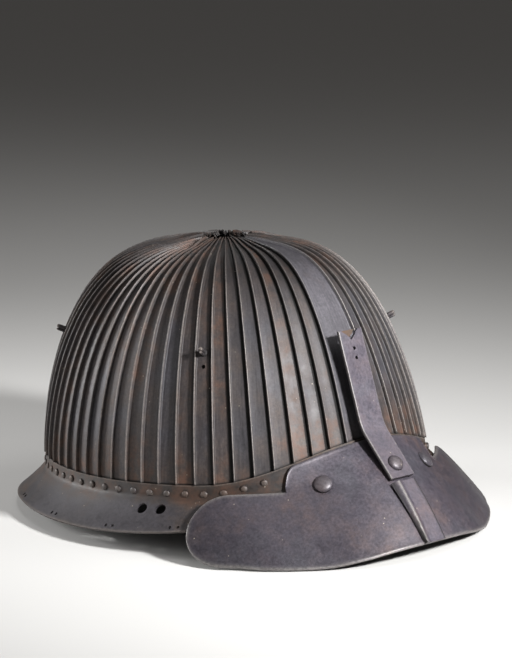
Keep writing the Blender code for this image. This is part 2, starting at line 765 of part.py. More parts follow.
def make_holder():
    foot, bend, top = holder_line()
    line = rounded_bend(foot, bend, top, HOLDER_BEND_RADIUS)
    made = strip_of("crest_holder", line, [HOLDER_WIDTH] * len(line), HOLDER_SHEET, "dark_iron")
    up = Vector((0, top[0] - bend[0], top[1] - bend[1])).normalized()
    away = Vector((0, -up.z, up.y))
    tip = Vector((0, *top))
    cuts = []
    for drop in HOLDER_HOLE_DROPS:
        hole = pin_mesh(((HOLDER_HOLE_RADIUS, -CUT_REACH), (HOLDER_HOLE_RADIUS, CUT_REACH)), 12)
        cuts.append((hole, facing(tip - up * drop, away)))
    notch = pin_mesh(((HOLDER_NOTCH * 0.42, -CUT_REACH), (HOLDER_NOTCH * 0.42, CUT_REACH)), 5)
    cuts.append((notch, facing(tip + Vector((HOLDER_WIDTH * 0.17, 0, 0)) - up * HOLDER_NOTCH * 0.3, away)))
    cuts.append(rivet_hole(0.0, RIVET_CENTRE_DROP, RIVET_SHANK + FIT_GAP))
    combine(made, cutter("holder_cuts", cuts), "DIFFERENCE")


def make_centre_strip():
    """The strip on the brim, lying just clear of it, from the holder's foot to the brim's edge."""
    _, edge = brim_edge(0.0)
    start = STRIP_START_DROP
    line, widths = [], []
    steps = 5
    for k in range(steps + 1):
        drop = start + (edge - start) * k / steps
        place = visor_point(0.0, drop) + visor_normal(0.0, drop) * FIT_GAP
        line.append((place.y, place.z))
        widths.append(STRIP_TOP_WIDTH + (STRIP_END_WIDTH - STRIP_TOP_WIDTH) * k / steps)
    return strip_of("visor_centre_strip", line[::-1], widths[::-1], STRIP_SHEET, "dark_iron")


def rivet_frame(turn, drop):
    """Where a rivet's head sits: on the visor, or for the middle one on the holder's foot."""
    place, normal = visor_point(turn, drop), visor_normal(turn, drop)
    if turn == 0.0:
        foot, bend, _ = holder_line()
        run = Vector((0, bend[0] - foot[0], bend[1] - foot[1])).normalized()
        normal = Vector((0, -run.z, run.y))
        place = Vector((0, *foot)) + run * RIVET_CENTRE_ALONG
        place += normal * HOLDER_SHEET
    return facing(place, normal)


def make_rivet(name, turn, drop):
    """A domed rivet with its shank through the sheets and a flat end inside."""
    place = rivet_frame(turn, drop)
    inside = VISOR_SHEET + SHEET + 4 * FIT_GAP
    if turn == 0.0:
        gap = (place.translation - visor_point(turn, drop)).length
        inside += gap + RIVET_TAIL * 1.6
    rings = [(RIVET_SHANK * 1.5, -inside - RIVET_TAIL), (RIVET_SHANK * 1.5, -inside), (RIVET_SHANK, -inside),
             (RIVET_SHANK, RIVET_SEAT), (RIVET_RADIUS, RIVET_SEAT)]
    for k in range(1, 4):
        angle = math.radians(76.0 * k / 3)
        rings.append((RIVET_RADIUS * math.cos(angle), RIVET_SEAT + RIVET_DOME * math.sin(angle)))
    mesh = pin_mesh(rings, 14)
    mesh.transform(place)
    finish(name, mesh, "dark_iron", 50.0)


def rest_on_surface():
    """Tilt the whole helmet until the visor and the neck plate both touch, centred over the origin."""
    depsgraph = bpy.context.evaluated_depsgraph_get()
    points = {}
    for name in ("visor", "neck_plate", "front_plate"):
        shape = bpy.data.objects[name].evaluated_get(depsgraph)
        points[name] = [vertex.co.copy() for vertex in shape.data.vertices]
    rear = [point for point in points["neck_plate"] if point.y > 0]

    def lowest(group, tilt):
        turned_back = Matrix.Rotation(-tilt, 4, "X")
        return min((turned_back @ point).z for point in group)

    low, high = math.radians(-8.0), math.radians(12.0)
    for _ in range(40):
        tilt = (low + high) / 2
        if lowest(points["visor"], tilt) < lowest(rear, tilt):
            low = tilt
        else:
            high = tilt
    turned_back = Matrix.Rotation(-tilt, 4, "X")
    placed = [turned_back @ point for group in points.values() for point in group]
    middle = (min(point.y for point in placed) + max(point.y for point in placed)) / 2
    HELMET.rotation_euler = (-tilt, 0.0, 0.0)
    HELMET.location = (0.0, -middle, -min(point.z for point in placed))


for old in list(bpy.data.objects):
    bpy.data.objects.remove(old)
HELMET = bpy.data.objects.new("helmet", None)
bpy.context.scene.collection.objects.link(HELMET)
make_bowl()
for where, plate, height in STUDS:
    make_stud(f"right_{where}_stud", 1, plate, height)
    make_stud(f"left_{where}_stud", -1, plate, height)
make_visor()
make_neck_plate()
make_holder()
make_centre_strip()
for hand, (turn, drop) in rivet_places():
    make_rivet(f"{hand}_visor_rivet", turn, drop)
bpy.context.view_layer.update()
rest_on_surface()
bpy.context.view_layer.update()
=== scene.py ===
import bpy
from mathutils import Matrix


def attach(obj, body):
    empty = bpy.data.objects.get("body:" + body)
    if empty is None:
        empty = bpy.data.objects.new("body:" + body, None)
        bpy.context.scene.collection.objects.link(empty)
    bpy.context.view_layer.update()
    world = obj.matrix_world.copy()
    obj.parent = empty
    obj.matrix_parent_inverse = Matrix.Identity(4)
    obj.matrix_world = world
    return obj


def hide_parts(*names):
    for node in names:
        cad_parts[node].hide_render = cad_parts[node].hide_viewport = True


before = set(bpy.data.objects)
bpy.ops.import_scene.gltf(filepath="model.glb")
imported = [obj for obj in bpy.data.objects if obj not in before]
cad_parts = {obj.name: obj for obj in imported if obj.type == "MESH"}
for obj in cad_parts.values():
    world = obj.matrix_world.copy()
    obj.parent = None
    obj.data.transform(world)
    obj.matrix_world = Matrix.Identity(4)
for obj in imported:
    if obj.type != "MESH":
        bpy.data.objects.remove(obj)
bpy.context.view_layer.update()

import math
import random
from functools import lru_cache

import bmesh
import bpy
from mathutils import Matrix, Vector, kdtree, noise

MM = 0.001

# Where the helmet rests: its own frame, with the rim at z = 0, tilted back and lifted on to the surface
REST_TILT = -3.0658
REST_PLACE = (0.0, 0.013398, 0.034653)

# The bowl's outline over its ribs
RIM_WIDTH = 0.2160
FRONT_REACH = 0.1206
REAR_REACH = 0.1274
BOWL_HEIGHT = 0.1271
BROW_RISE = 0.0187
BROW_HALF_TURN = 52.0
FULLNESS = {"front": (1.06, 4.18), "rear": (1.69, 3.66), "side": (1.64, 2.86)}
CROWN_HOLE = 14.5 * MM

# Plates and ribs
SIDE_PLATES = 30
FRONT_PLATE_WIDTH = 31.4 * MM
REAR_PLATE_WIDTH = 20.0 * MM
PITCH_EASE = 0.04
PLATE_GAUGE = 0.9 * MM
RIB_HEIGHT = 2.4 * MM
RIB_THICKNESS = 0.9 * MM
PLATE_ROWS = 34
PLATE_TUCK = 5.0 * MM

# The neck plate
BAND_PROUD = 1.25 * MM
BAND_HEIGHT = 8.6 * MM
NECK_GAUGE = 1.3 * MM
SKIRT_OUT = 17.7 * MM
SKIRT_DROP = 25.8 * MM
SKIRT_FADE = (30.0, 56.0)
BROW_BAND = 23.5 * MM
SKIRT_EDGE = (
    (40.0, 0.78), (60.0, 0.90), (80.0, 0.975), (100.0, 0.965), (120.0, 0.915),
    (138.0, 0.91), (158.0, 0.96), (180.0, 1.0),
)
LARGE_HOLES = (62.7, 68.9)
LARGE_HOLE_RADIUS = 3.3 * MM
LARGE_HOLE_SHARE = 0.31
LACE_HOLES = (56.7, 77.0, 101.5, 126.0, 152.0, 180.0)
LACE_HOLE_RADIUS = 1.15 * MM
LACE_HOLE_SPACING = 5.2 * MM
LACE_HOLE_SHARE = 0.86
NECK_DRILL_REACH = 5 * MM
BAND_RIVET_BELOW = 5.3 * MM
BAND_RIVET_FIRST = 30.0

# The visor
VISOR_GAUGE = 1.5 * MM
VISOR_REACH = 48.1 * MM
VISOR_DROP = 41.0 * MM
VISOR_TURN = 52.3
WING_ROUND_FROM = 41.0
WING_ROUND_POWER = 2.4
WING_TOP_DROP = 4.0 * MM
FLANGE_END = (24.6, 27.4)
FLANGE_UNDER_BOWL = 0.7 * MM
KNEE_PEAK = 19.0 * MM
KNEE_BASE = 3.4 * MM
KNEE_WIDTH = 15.5
KNEE_DROP = 2.4 * MM
BRIM_BULGE = 1.2 * MM
VISOR_EDGE = (
    (0.0, 1.0, 0.844), (8.0, 0.985, 0.868), (15.0, 0.936, 0.939), (21.0, 0.859, 0.998),
    (28.0, 0.796, 0.998), (35.0, 0.753, 0.976), (41.0, 0.707, 0.944),
)

# The crest holder and the strip below it
HOLDER_WIDTH = 17.6 * MM
HOLDER_GAUGE = 1.9 * MM
HOLDER_TOP = 79.2 * MM
HOLDER_BEND = 24.6 * MM
HOLDER_STANDOFF_TOP = 9.2 * MM
HOLDER_STANDOFF_BEND = 6.6 * MM
HOLDER_FOOT_DROP = 2.2 * MM
HOLDER_GAP = 0.65 * MM
HOLDER_BEND_RADIUS = 6 * MM
HOLDER_HOLE_RADIUS = 1.05 * MM
HOLDER_HOLE_DROPS = (10.8 * MM, 16.4 * MM)
STRIP_FIRST = 3.6 * MM
STRIP_SHIFT = 0.8 * MM
STRIP_LIFT = 0.35 * MM

# The large rivets, and the split pins with a cord hole below each: place, plate, height and how far below
RIVET_CENTRE_ALONG = 9.0 * MM
RIVET_SIDE_TURN = 17.8
RIVET_SIDE_DROP = 1.4 * MM
RIVET_LEAN_DROP = 3.6 * MM
STUDS = (("front", 8, 73.2 * MM, 7.4 * MM), ("rear", 23, 73.5 * MM, 8.5 * MM))
CORD_HOLE_RADIUS = 1.2 * MM

CHANCE = random.Random(62)
HELMET = Matrix.Translation(REST_PLACE) @ Matrix.Rotation(math.radians(REST_TILT), 4, "X")


# Shapes of the bowl, in the helmet's own frame

def smooth_step(value, low, high):
    share = min(1.0, max(0.0, (value - low) / (high - low)))
    return share * share * (3.0 - 2.0 * share)


def along(rows, value, column):
    """A column of a short table, read on a smooth curve through its rows."""
    value = min(max(value, rows[0][0]), rows[-1][0])
    last = max(i for i in range(len(rows) - 1) if rows[i][0] <= value)

    def slope(i):
        if i == 0 or i == len(rows) - 1:
            return 0.0
        return (rows[i + 1][column] - rows[i - 1][column]) / (rows[i + 1][0] - rows[i - 1][0])

    span = rows[last + 1][0] - rows[last][0]
    u = (value - rows[last][0]) / span
    start, end = rows[last][column], rows[last + 1][column]
    return (start * (1 + 2 * u) * (1 - u) ** 2 + end * u * u * (3 - 2 * u)
            + span * (slope(last) * u * (1 - u) ** 2 - slope(last + 1) * u * u * (1 - u)))


def rim_radius(turn):
    front, side = math.cos(math.radians(turn)), math.sin(math.radians(turn))
    reach = FRONT_REACH if front > 0 else REAR_REACH
    return 1.0 / math.hypot(front / reach, side / (RIM_WIDTH / 2))


def fullness(turn):
    front = math.cos(math.radians(turn))
    end = FULLNESS["front" if front > 0 else "rear"]
    return [side + (full - side) * front * front for full, side in zip(end, FULLNESS["side"])]


def around(turn, radius, height):
    angle = math.radians(turn)
    return Vector((-radius * math.sin(angle), -radius * math.cos(angle), height))


def dome_radius(turn, height):
    rise_power, reach_power = fullness(turn)
    level = min(1.0, max(0.0, height / BOWL_HEIGHT))
    return rim_radius(turn) * (1.0 - level ** rise_power) ** (1.0 / reach_power)


def dome_point(turn, angle):
    rise_power, reach_power = fullness(turn)
    climb = math.radians(max(angle, 0.0))
    radius = rim_radius(turn) * math.cos(climb) ** (2.0 / reach_power)
    return around(turn, radius, BOWL_HEIGHT * math.sin(climb) ** (2.0 / rise_power))


def dome_out(turn, angle):
    step = 1.5
    across = dome_point(turn + step, angle) - dome_point(turn - step, angle)
    upward = dome_point(turn, min(angle + step, 89.9)) - dome_point(turn, max(angle - step, 0.0))
    out = upward.cross(across).normalized()
    return out if out.dot(dome_point(turn, angle)) > 0 else -out


def climb_at_height(turn, height):
    return math.degrees(math.asin((height / BOWL_HEIGHT) ** (fullness(turn)[0] / 2.0)))


def climb_at_crown(turn, hole):
    return math.degrees(math.acos((hole / rim_radius(turn)) ** (fullness(turn)[1] / 2.0)))


def brow_rise(turn):
    turn = abs(turn)
    if turn >= BROW_HALF_TURN:
        return 0.0
    return BROW_RISE * math.cos(math.radians(90.0 * turn / BROW_HALF_TURN)) ** 2


def rim_distance_table():
    distance, table = 0.0, [(0.0, 0.0)]
    for half in range(1, 361):
        step = around(half / 2, rim_radius(half / 2), 0) - around((half - 1) / 2, rim_radius((half - 1) / 2), 0)
        distance += step.length
        table.append((distance, half / 2))
    return table


RIM_TABLE = rim_distance_table()
HALF_RIM = RIM_TABLE[-1][0]


def turn_at(distance):
    for (near, low), (far, high) in zip(RIM_TABLE, RIM_TABLE[1:]):
        if distance <= far:
            return low + (high - low) * (distance - near) / (far - near)
    return 180.0


def plate_edge(index):
    pitch = (HALF_RIM - FRONT_PLATE_WIDTH / 2 - REAR_PLATE_WIDTH / 2) / SIDE_PLATES
    eased = index + PITCH_EASE * (index - index * index / SIDE_PLATES)
    return turn_at(FRONT_PLATE_WIDTH / 2 + pitch * eased)


@lru_cache(maxsize=None)
def climb_shares(turn):
    """The share of the climb at each row, evenly spaced over the plate's length."""
    low, high = climb_at_height(turn, brow_rise(turn)), climb_at_crown(turn, CROWN_HOLE)
    shares = [1.0 - (1.0 - k / 60) ** 2 for k in range(61)]
    points = [dome_point(turn, low + (high - low) * share) for share in shares]
    lengths = [0.0]
    for before, after in zip(points, points[1:]):
        lengths.append(lengths[-1] + (after - before).length)
    found = []
    for row in range(PLATE_ROWS + 1):
        wanted = lengths[-1] * row / PLATE_ROWS
        k = min(max(i for i in range(61) if lengths[i] <= wanted + 1e-9), 59)
        found.append(shares[k] + (shares[k + 1] - shares[k]) * (wanted - lengths[k]) / (lengths[k + 1] - lengths[k]))
    return found


# Making pieces

def blank_mesh():
    """An empty mesh that can say how worn and how sooty the metal is at each vertex; the wear carries painted
    highlights and the soot painted shade.
    """
    mesh = bmesh.new()
    for what in ("wear_and_highlight", "dirt_and_shade"):
        mesh.verts.layers.float.new(what)
    return mesh


def sheet(columns, rows, place, wrap_columns=False, wrap_rows=False, merge=1e-6):
    """A grid whose points are moved to place(column, row), closed round where it wraps.

    place gives a point, then how worn and how sooty the metal is there, the wear with painted highlights and the soot
    with painted shade.
    """
    mesh = blank_mesh()
    wear_and_highlight, dirt_and_shade = mesh.verts.layers.float["wear_and_highlight"], mesh.verts.layers.float["dirt_and_shade"]
    bmesh.ops.create_grid(mesh, x_segments=columns, y_segments=rows, size=1.0)
    for vertex in mesh.verts:
        column = round((vertex.co.x + 1.0) / 2.0 * columns)
        row = round((vertex.co.y + 1.0) / 2.0 * rows)
        if wrap_columns:
            column %= columns
        if wrap_rows:
            row %= rows
        vertex.co, vertex[wear_and_highlight], vertex[dirt_and_shade] = place(column, row)
    bmesh.ops.remove_doubles(mesh, verts=mesh.verts, dist=merge)
    open_edges = [edge for edge in mesh.edges if edge.is_boundary]
    if open_edges and (wrap_columns or wrap_rows):
        bmesh.ops.holes_fill(mesh, edges=open_edges, sides=0)
    bmesh.ops.recalc_face_normals(mesh, faces=mesh.faces)
    return mesh


def spun(profile, steps):
    """A turned piece along +Z from points of radius and height, closed on the axis."""
    mesh = blank_mesh()
    chain = [mesh.verts.new((radius, 0.0, height)) for radius, height in profile]
    edges = [mesh.edges.new(pair) for pair in zip(chain, chain[1:])]
    bmesh.ops.spin(mesh, geom=chain + edges, cent=(0, 0, 0), axis=(0, 0, 1), angle=2 * math.pi,
                   steps=steps, use_merge=True)
    bmesh.ops.remove_doubles(mesh, verts=mesh.verts, dist=1e-6)
    bmesh.ops.recalc_face_normals(mesh, faces=mesh.faces)
    return mesh


def paint(mesh, rub_and_highlight, soot_and_shade):
    """Rub a turned piece at its end, partly as a painted highlight, and soot it at its foot as painted contact shade:
    how much, and the heights in mm it changes between.
    """
    wear_and_highlight, dirt_and_shade = mesh.verts.layers.float["wear_and_highlight"], mesh.verts.layers.float["dirt_and_shade"]
    for vertex in mesh.verts:
        high = vertex.co.z / MM
        vertex[wear_and_highlight] = rub_and_highlight[0] * smooth_step(high, *rub_and_highlight[1:])
        vertex[dirt_and_shade] = soot_and_shade[0] * (1.0 - smooth_step(high, *soot_and_shade[1:]))


def finished(name, mesh):
    """A mesh in its lasting form; the working one is freed."""
    data = bpy.data.meshes.new(name)
    mesh.to_mesh(data)
    mesh.free()
    return data


def put(name, data):
    """A new object in the scene."""
    made = bpy.data.objects.new(name, data)
    bpy.context.scene.collection.objects.link(made)
    return made


def joined(parts):
    """One mesh from several, each with the transform that places it."""
    whole = blank_mesh()
    for part, place in parts:
        copy = finished("part", part)
        copy.transform(place)
        whole.from_mesh(copy)
        bpy.data.meshes.remove(copy)
    return whole


def settle(name, mesh, material, nodes, tone=0.5, sharp=38.0, warmth=0.5):
    """Put a finished mesh in the row frame as a piece that rides on the helmet.

    tone is how light its metal is, with painted highlights and painted shade in some of its rules, and warmth how
    brown, each a value or a rule of the place on the helmet.
    """
    tint, cast = mesh.verts.layers.float.new("tone"), mesh.verts.layers.float.new("warmth")
    for vertex in mesh.verts:
        vertex[tint], vertex[cast] = [value(vertex.co) if callable(value) else value for value in (tone, warmth)]
    mesh.transform(HELMET)
    data = finished(name, mesh)
    data.materials.append(material)
    data.shade_smooth()
    data.set_sharp_from_angle(angle=math.radians(sharp))
    piece = put(name, data)
    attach(piece, "root")
    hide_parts(*nodes)
    return piece


def cut(piece, cutters, inside=None):
    """Cut real holes through a piece, and leave the result in its mesh.

    inside is the finish of the cut's walls, where it is not the piece's own.
    """
    mesh = joined(cutters)
    mesh.transform(HELMET)
    data = finished("cutter", mesh)
    data.materials.append(inside or piece.data.materials[0])
    tool = put("cutter", data)
    change = piece.modifiers.new("holes", "BOOLEAN")
    change.object, change.operation, change.solver = tool, "DIFFERENCE", "MANIFOLD"
    change.material_mode = "TRANSFER"
    done = bpy.data.meshes.new_from_object(piece.evaluated_get(bpy.context.evaluated_depsgraph_get()))
    piece.modifiers.clear()

    # The new corners take their wear and tone from the nearest old ones
    old = kdtree.KDTree(len(piece.data.vertices))
    for vertex in piece.data.vertices:
        old.insert(vertex.co, vertex.index)
    old.balance()
    nearest = [old.find(vertex.co)[1] for vertex in done.vertices]
    for what in ("wear_and_highlight", "dirt_and_shade", "tone", "warmth"):
        before, after = piece.data.attributes[what].data, done.attributes[what].data
        for vertex, source in zip(after, nearest):
            vertex.value = before[source].value
    piece.data = done
    done.shade_smooth()
    done.set_sharp_from_angle(angle=math.radians(38.0))
    bpy.data.objects.remove(tool)


def upward(down, across):
    """The normal of a surface that faces up."""
    normal = down.cross(across).normalized()
    return normal if normal.z > 0 else -normal


def facing(place, direction):
    return Matrix.Translation(place) @ direction.to_track_quat("Z", "Y").to_matrix().to_4x4()


def drill(radius, reach, steps=20):
    return spun(((0, -reach), (radius, -reach), (radius, reach), (0, reach)), steps)


# Iron and its patina

def tone_of(text):
    """An sRGB hex colour as linear values."""
    parts = [int(text[i:i + 2], 16) / 255 for i in (1, 3, 5)]
    return (*[part / 12.92 if part <= 0.04045 else ((part + 0.055) / 1.055) ** 2.4 for part in parts], 1.0)


def add(tree, kind, inputs, out=0, **properties):
    """Add a node with its properties, give each input a value or another node's output, and hand back one output."""
    made = tree.nodes.new(kind)
    for key, value in properties.items():
        setattr(made, key, value)
    for socket, value in inputs.items():
        if isinstance(value, bpy.types.NodeSocket):
            tree.links.new(value, made.inputs[socket])
        else:
            made.inputs[socket].default_value = value
    return made.outputs[out]


MATH, RANGE, MIX = "ShaderNodeMath", "ShaderNodeMapRange", "ShaderNodeMix"
NOISE, BUMP = "ShaderNodeTexNoise", "ShaderNodeBump"


def iron(name, base, warm, cool, wear_and_highlight, crust, roughness, metallic=0.3, rust=0.25, mottled=0.2, streaks=0.0):
    """Old iron: a dark oxide skin with warm and cool patches, rust in the corners, bare metal on the ridges with
    painted highlights, and black soot with painted shade where the mesh marks it.
    """
    made = bpy.data.materials.new(name)
    made.use_nodes = True
    tree = made.node_tree
    shader = tree.nodes["Principled BSDF"]
    place = add(tree, "ShaderNodeTexCoord", {}, "Object")
    edge, dirt_and_shade, tone, warmth = [add(tree, "ShaderNodeAttribute", {}, "Fac", attribute_name=what)
                                for what in ("wear_and_highlight", "dirt_and_shade", "tone", "warmth")]

    # Patches of the oxide skin: clouds 38 mm wide, spots of 9 mm, flecks of 1.6 mm and grit of 0.45 mm.
    # The real grit is finer, and is drawn as coarse as it needs to show
    broad, patch, fine, grit = [
        add(tree, NOISE, {"Vector": place, "W": start, "Scale": 1.0 / (size * MM), "Detail": detail,
                          "Roughness": rough}, "Fac", noise_dimensions="4D")
        for size, detail, rough, start in (
            (38.0, 3.0, 0.6, 0.0), (9.0, 5.0, 0.65, 0.9), (1.6, 3.0, 0.7, 0.4), (0.45, 2.0, 0.6, 0.2))]
    leaning = add(tree, MATH, {0: warmth, 1: 0.5}, operation="SUBTRACT")
    leaning = add(tree, MATH, {0: leaning, 1: 0.42}, operation="MULTIPLY")
    cast = add(tree, MATH, {0: broad, 1: leaning}, operation="ADD")
    share = add(tree, RANGE, {"Value": cast, "From Min": 0.36, "From Max": 0.5})
    colour = add(tree, MIX, {0: share, 6: tone_of(cool), 7: tone_of(base)}, 2, data_type="RGBA")
    half = add(tree, MATH, {0: patch, 1: cast}, operation="ADD")
    half = add(tree, MATH, {0: half, 1: 0.5}, operation="MULTIPLY")
    share = add(tree, RANGE, {"Value": half, "From Min": 0.47, "From Max": 0.66})
    colour = add(tree, MIX, {0: share, 6: colour, 7: tone_of(warm)}, 2, data_type="RGBA")

    # Light and dark flecks, and each plate's own shade
    shade = add(tree, RANGE, {"Value": fine, "From Min": 0.36, "From Max": 0.64,
                              "To Min": 1.0 - mottled, "To Max": 1.0 + mottled})
    cloud = add(tree, RANGE, {"Value": patch, "From Min": 0.3, "From Max": 0.7, "To Min": 0.84, "To Max": 1.16})
    shade = add(tree, MATH, {0: shade, 1: cloud}, operation="MULTIPLY")
    lines = fine
    if streaks:
        # Scratches and drips that run down the plates, about 1 mm wide and many times as long
        x, y, z = [add(tree, "ShaderNodeSeparateXYZ", {0: place}, way) for way in ("X", "Y", "Z")]
        y = add(tree, MATH, {0: y, 1: REST_PLACE[1]}, operation="SUBTRACT")
        turned = add(tree, MATH, {0: y, 1: x}, operation="ARCTAN2")
        turned = add(tree, MATH, {0: turned, 1: 0.09}, operation="MULTIPLY")
        long_way = add(tree, MATH, {0: z, 1: 0.06}, operation="MULTIPLY")
        laid = add(tree, "ShaderNodeCombineXYZ", {"X": turned, "Z": long_way})
        lines = add(tree, NOISE, {"Vector": laid, "Scale": 1.0 / (1.1 * MM), "Detail": 3.0, "Roughness": 0.7}, "Fac")
        drips = add(tree, RANGE, {"Value": lines, "From Min": 0.36, "From Max": 0.64,
                                  "To Min": 1.0 - streaks, "To Max": 1.0 + streaks})
        shade = add(tree, MATH, {0: shade, 1: drips}, operation="MULTIPLY")
    doubled = add(tree, MATH, {0: tone, 1: 2.0}, operation="MULTIPLY")
    bright = add(tree, MATH, {0: doubled, 1: shade}, operation="MULTIPLY")
    colour = add(tree, "ShaderNodeVectorMath", {0: colour, "Scale": bright}, "Vector", operation="SCALE")

    # Thin orange rust where damp stays
    damp = add(tree, RANGE, {"Value": patch, "From Min": 0.44, "From Max": 0.64, "To Max": rust})
    shelter = add(tree, RANGE, {"Value": cast, "From Min": 0.54, "From Max": 0.74})
    spread = add(tree, MATH, {0: damp, 1: shelter}, operation="MULTIPLY")
    colour = add(tree, MIX, {0: spread, 6: colour, 7: tone_of(crust)}, 2, data_type="RGBA")

    # Bare, rubbed edges, partly painted highlights, and black soot in the corners and on hidden faces, partly painted
    # shade
    patchy = add(tree, RANGE, {"Value": fine, "From Min": 0.25, "From Max": 0.6, "To Min": 0.3})
    rubbed_and_lit = add(tree, MATH, {0: edge, 1: patchy}, operation="MULTIPLY")
    colour = add(tree, MIX, {0: rubbed_and_lit, 6: colour, 7: tone_of(wear_and_highlight)}, 2, data_type="RGBA")
    held = add(tree, RANGE, {"Value": patch, "From Min": 0.2, "From Max": 0.6, "To Min": 0.9})
    corner = add(tree, MATH, {0: dirt_and_shade, 1: held}, operation="MULTIPLY")
    colour = add(tree, MIX, {0: corner, 6: colour, 7: tone_of("#080605")}, 2, data_type="RGBA")

    # Pale specks of dust and scale, half a millimetre wide
    spot = add(tree, "ShaderNodeTexVoronoi", {"Vector": place, "Scale": 1.0 / (4.4 * MM)}, "Distance")
    speck = add(tree, RANGE, {"Value": spot, "From Min": 0.10, "From Max": 0.05, "To Max": 0.8})
    seldom = add(tree, RANGE, {"Value": patch, "From Min": 0.53, "From Max": 0.60})
    dust = add(tree, MATH, {0: speck, 1: seldom}, operation="MULTIPLY")
    colour = add(tree, MIX, {0: dust, 6: colour, 7: tone_of("#8F877B")}, 2, data_type="RGBA")
    tree.links.new(colour, shader.inputs["Base Color"])
    shader.inputs["Metallic"].default_value = metallic

    # Rubbed patches shine a little more, and the black soot and painted shade is dull
    dull = add(tree, RANGE, {"Value": patch, "From Min": 0.3, "From Max": 0.7,
                             "To Min": roughness - 0.06, "To Max": roughness + 0.10})
    brushed = add(tree, RANGE, {"Value": lines, "From Min": 0.3, "From Max": 0.7, "To Min": -0.06, "To Max": 0.06})
    skin = add(tree, MATH, {0: dull, 1: brushed}, operation="ADD")
    dull_soot_and_shade = add(tree, MATH, {0: corner, 1: 0.95}, operation="MULTIPLY")
    skin = add(tree, MATH, {0: skin, 1: dull_soot_and_shade}, operation="MAXIMUM")
    tree.links.new(skin, shader.inputs["Roughness"])

    # Relief of the same flecks and scratches, up to 0.6 mm deep where the patches are pitted
    relief = add(tree, BUMP, {"Height": grit, "Strength": 0.125, "Distance": 0.12 * MM})
    relief = add(tree, BUMP, {"Height": lines, "Strength": 0.2, "Distance": 0.22 * MM, "Normal": relief})
    relief = add(tree, BUMP, {"Height": patch, "Strength": 0.225, "Distance": 0.6 * MM, "Normal": relief})
    tree.links.new(relief, shader.inputs["Normal"])
    return made


# The plates' iron was forged, rusted on purpose and oiled: brown black, with grey where it is rubbed and where
# highlights are painted
RUSSET = iron("russeted_iron", "#363132", "#3D342F", "#343236", "#7A7470", "#5E3B2A", 0.54,
              rust=0.5, mottled=0.22, streaks=0.24)
# The neck plate has been handled more: its skirt is grey and smooth, and its band keeps brown rust round the rivets
NECK_IRON = iron("rubbed_russet_iron", "#353133", "#3B3029", "#373438", "#6E6660", "#5A3B2B", 0.54,
                 rust=0.5, mottled=0.24)
# The visor and the crest holder have a smoother skin with a violet cast
VISOR_IRON = iron("oiled_iron", "#37333A", "#3B3336", "#36343A", "#777370", "#5B4030", 0.43, mottled=0.24)
# Where the holder's top has broken, the iron inside is ochre with fresh rust
BROKEN_IRON = iron("rusted_break", "#39281B", "#4A301C", "#2F2620", "#4A3A2C", "#3E2616", 0.8, metallic=0.0)


# The bowl's plates

def narrow_section(width, rise):
    """A narrow plate across: flat, then turned up into its rib, with a tab that tucks under the plate before it.

    Each corner is its place across, its height, and how worn and how sooty it is; the wear on the rib's top is partly a
    painted highlight, and the soot in the valley and on the rib's back is partly painted shade.
    """
    thick = min(RIB_THICKNESS, 0.38 * width)
    fillet = min(0.6 * MM, 0.16 * width, 0.5 * rise + 0.05 * MM)
    foot = width - thick - fillet
    tab = 0.28 * width
    gauge = PLATE_GAUGE
    return (
        (0.0, 0.0, 0.0, 1.0), (0.08 * width, 0.0, 0.0, 1.0), (0.155 * width, 0.0, 0.0, 0.9),
        (0.22 * width, 0.0, 0.0, 0.2), (0.45 * width, 0.0, 0.0, 0.0), (foot, 0.0, 0.0, 0.0),
        (foot + 0.45 * fillet, 0.12 * fillet, 0.0, 0.15), (foot + 0.82 * fillet, 0.42 * fillet, 0.0, 0.4),
        (width - thick, fillet, 0.0, 0.5), (width - thick, 0.80 * rise, 0.4, 0.1),
        (width - 0.82 * thick, 0.95 * rise, 0.9, 0.0), (width - 0.5 * thick, rise, 0.3, 0.0),
        (width - 0.18 * thick, 0.95 * rise, 0.1, 0.2), (width, 0.80 * rise, 0.0, 0.7),
        (width, 0.45 * rise, 0.0, 0.9), (width, 0.0, 0.0, 1.0), (width, -gauge, 0.0, 0.4),
        (tab, -gauge, 0.0, 0.3), (tab, -2 * gauge, 0.3, 0.0), (-tab, -2 * gauge, 0.3, 0.1),
        (-tab, -gauge - 0.06 * MM, 0.0, 0.4), (0.0, -gauge - 0.06 * MM, 0.0, 0.8),
    )


def front_section(width, rise):
    """The wide front plate across, with a rib along each side."""
    thick = min(RIB_THICKNESS, 0.2 * width)
    fillet = min(0.9 * MM, 0.1 * width, 0.5 * rise + 0.05 * MM)
    # As on the narrow plates, the wear on each rib's top is partly a painted highlight and the soot at its foot partly
    # painted shade
    half = (
        (0.0, -PLATE_GAUGE, 0.0, 0.4), (0.0, 0.0, 0.0, 1.0), (0.0, 0.45 * rise, 0.0, 0.9), (0.0, 0.80 * rise, 0.0, 0.5),
        (0.18 * thick, 0.95 * rise, 0.25, 0.1), (0.5 * thick, rise, 0.55, 0.0), (0.82 * thick, 0.95 * rise, 1.0, 0.0),
        (thick, 0.80 * rise, 0.4, 0.0), (thick, fillet, 0.1, 0.0),
        (thick + 0.18 * fillet, 0.42 * fillet, 0.05, 0.0), (thick + 0.55 * fillet, 0.12 * fillet, 0.0, 0.0),
        (thick + fillet, 0.0, 0.0, 0.0), (0.3 * width, 0.0, 0.0, 0.0),
    )
    back = tuple((width - across, high, rub_and_highlight, soot_and_shade) for across, high, rub_and_highlight, soot_and_shade in half[::-1])
    return half + ((0.5 * width, 0.0, 0.0, 0.0),) + back


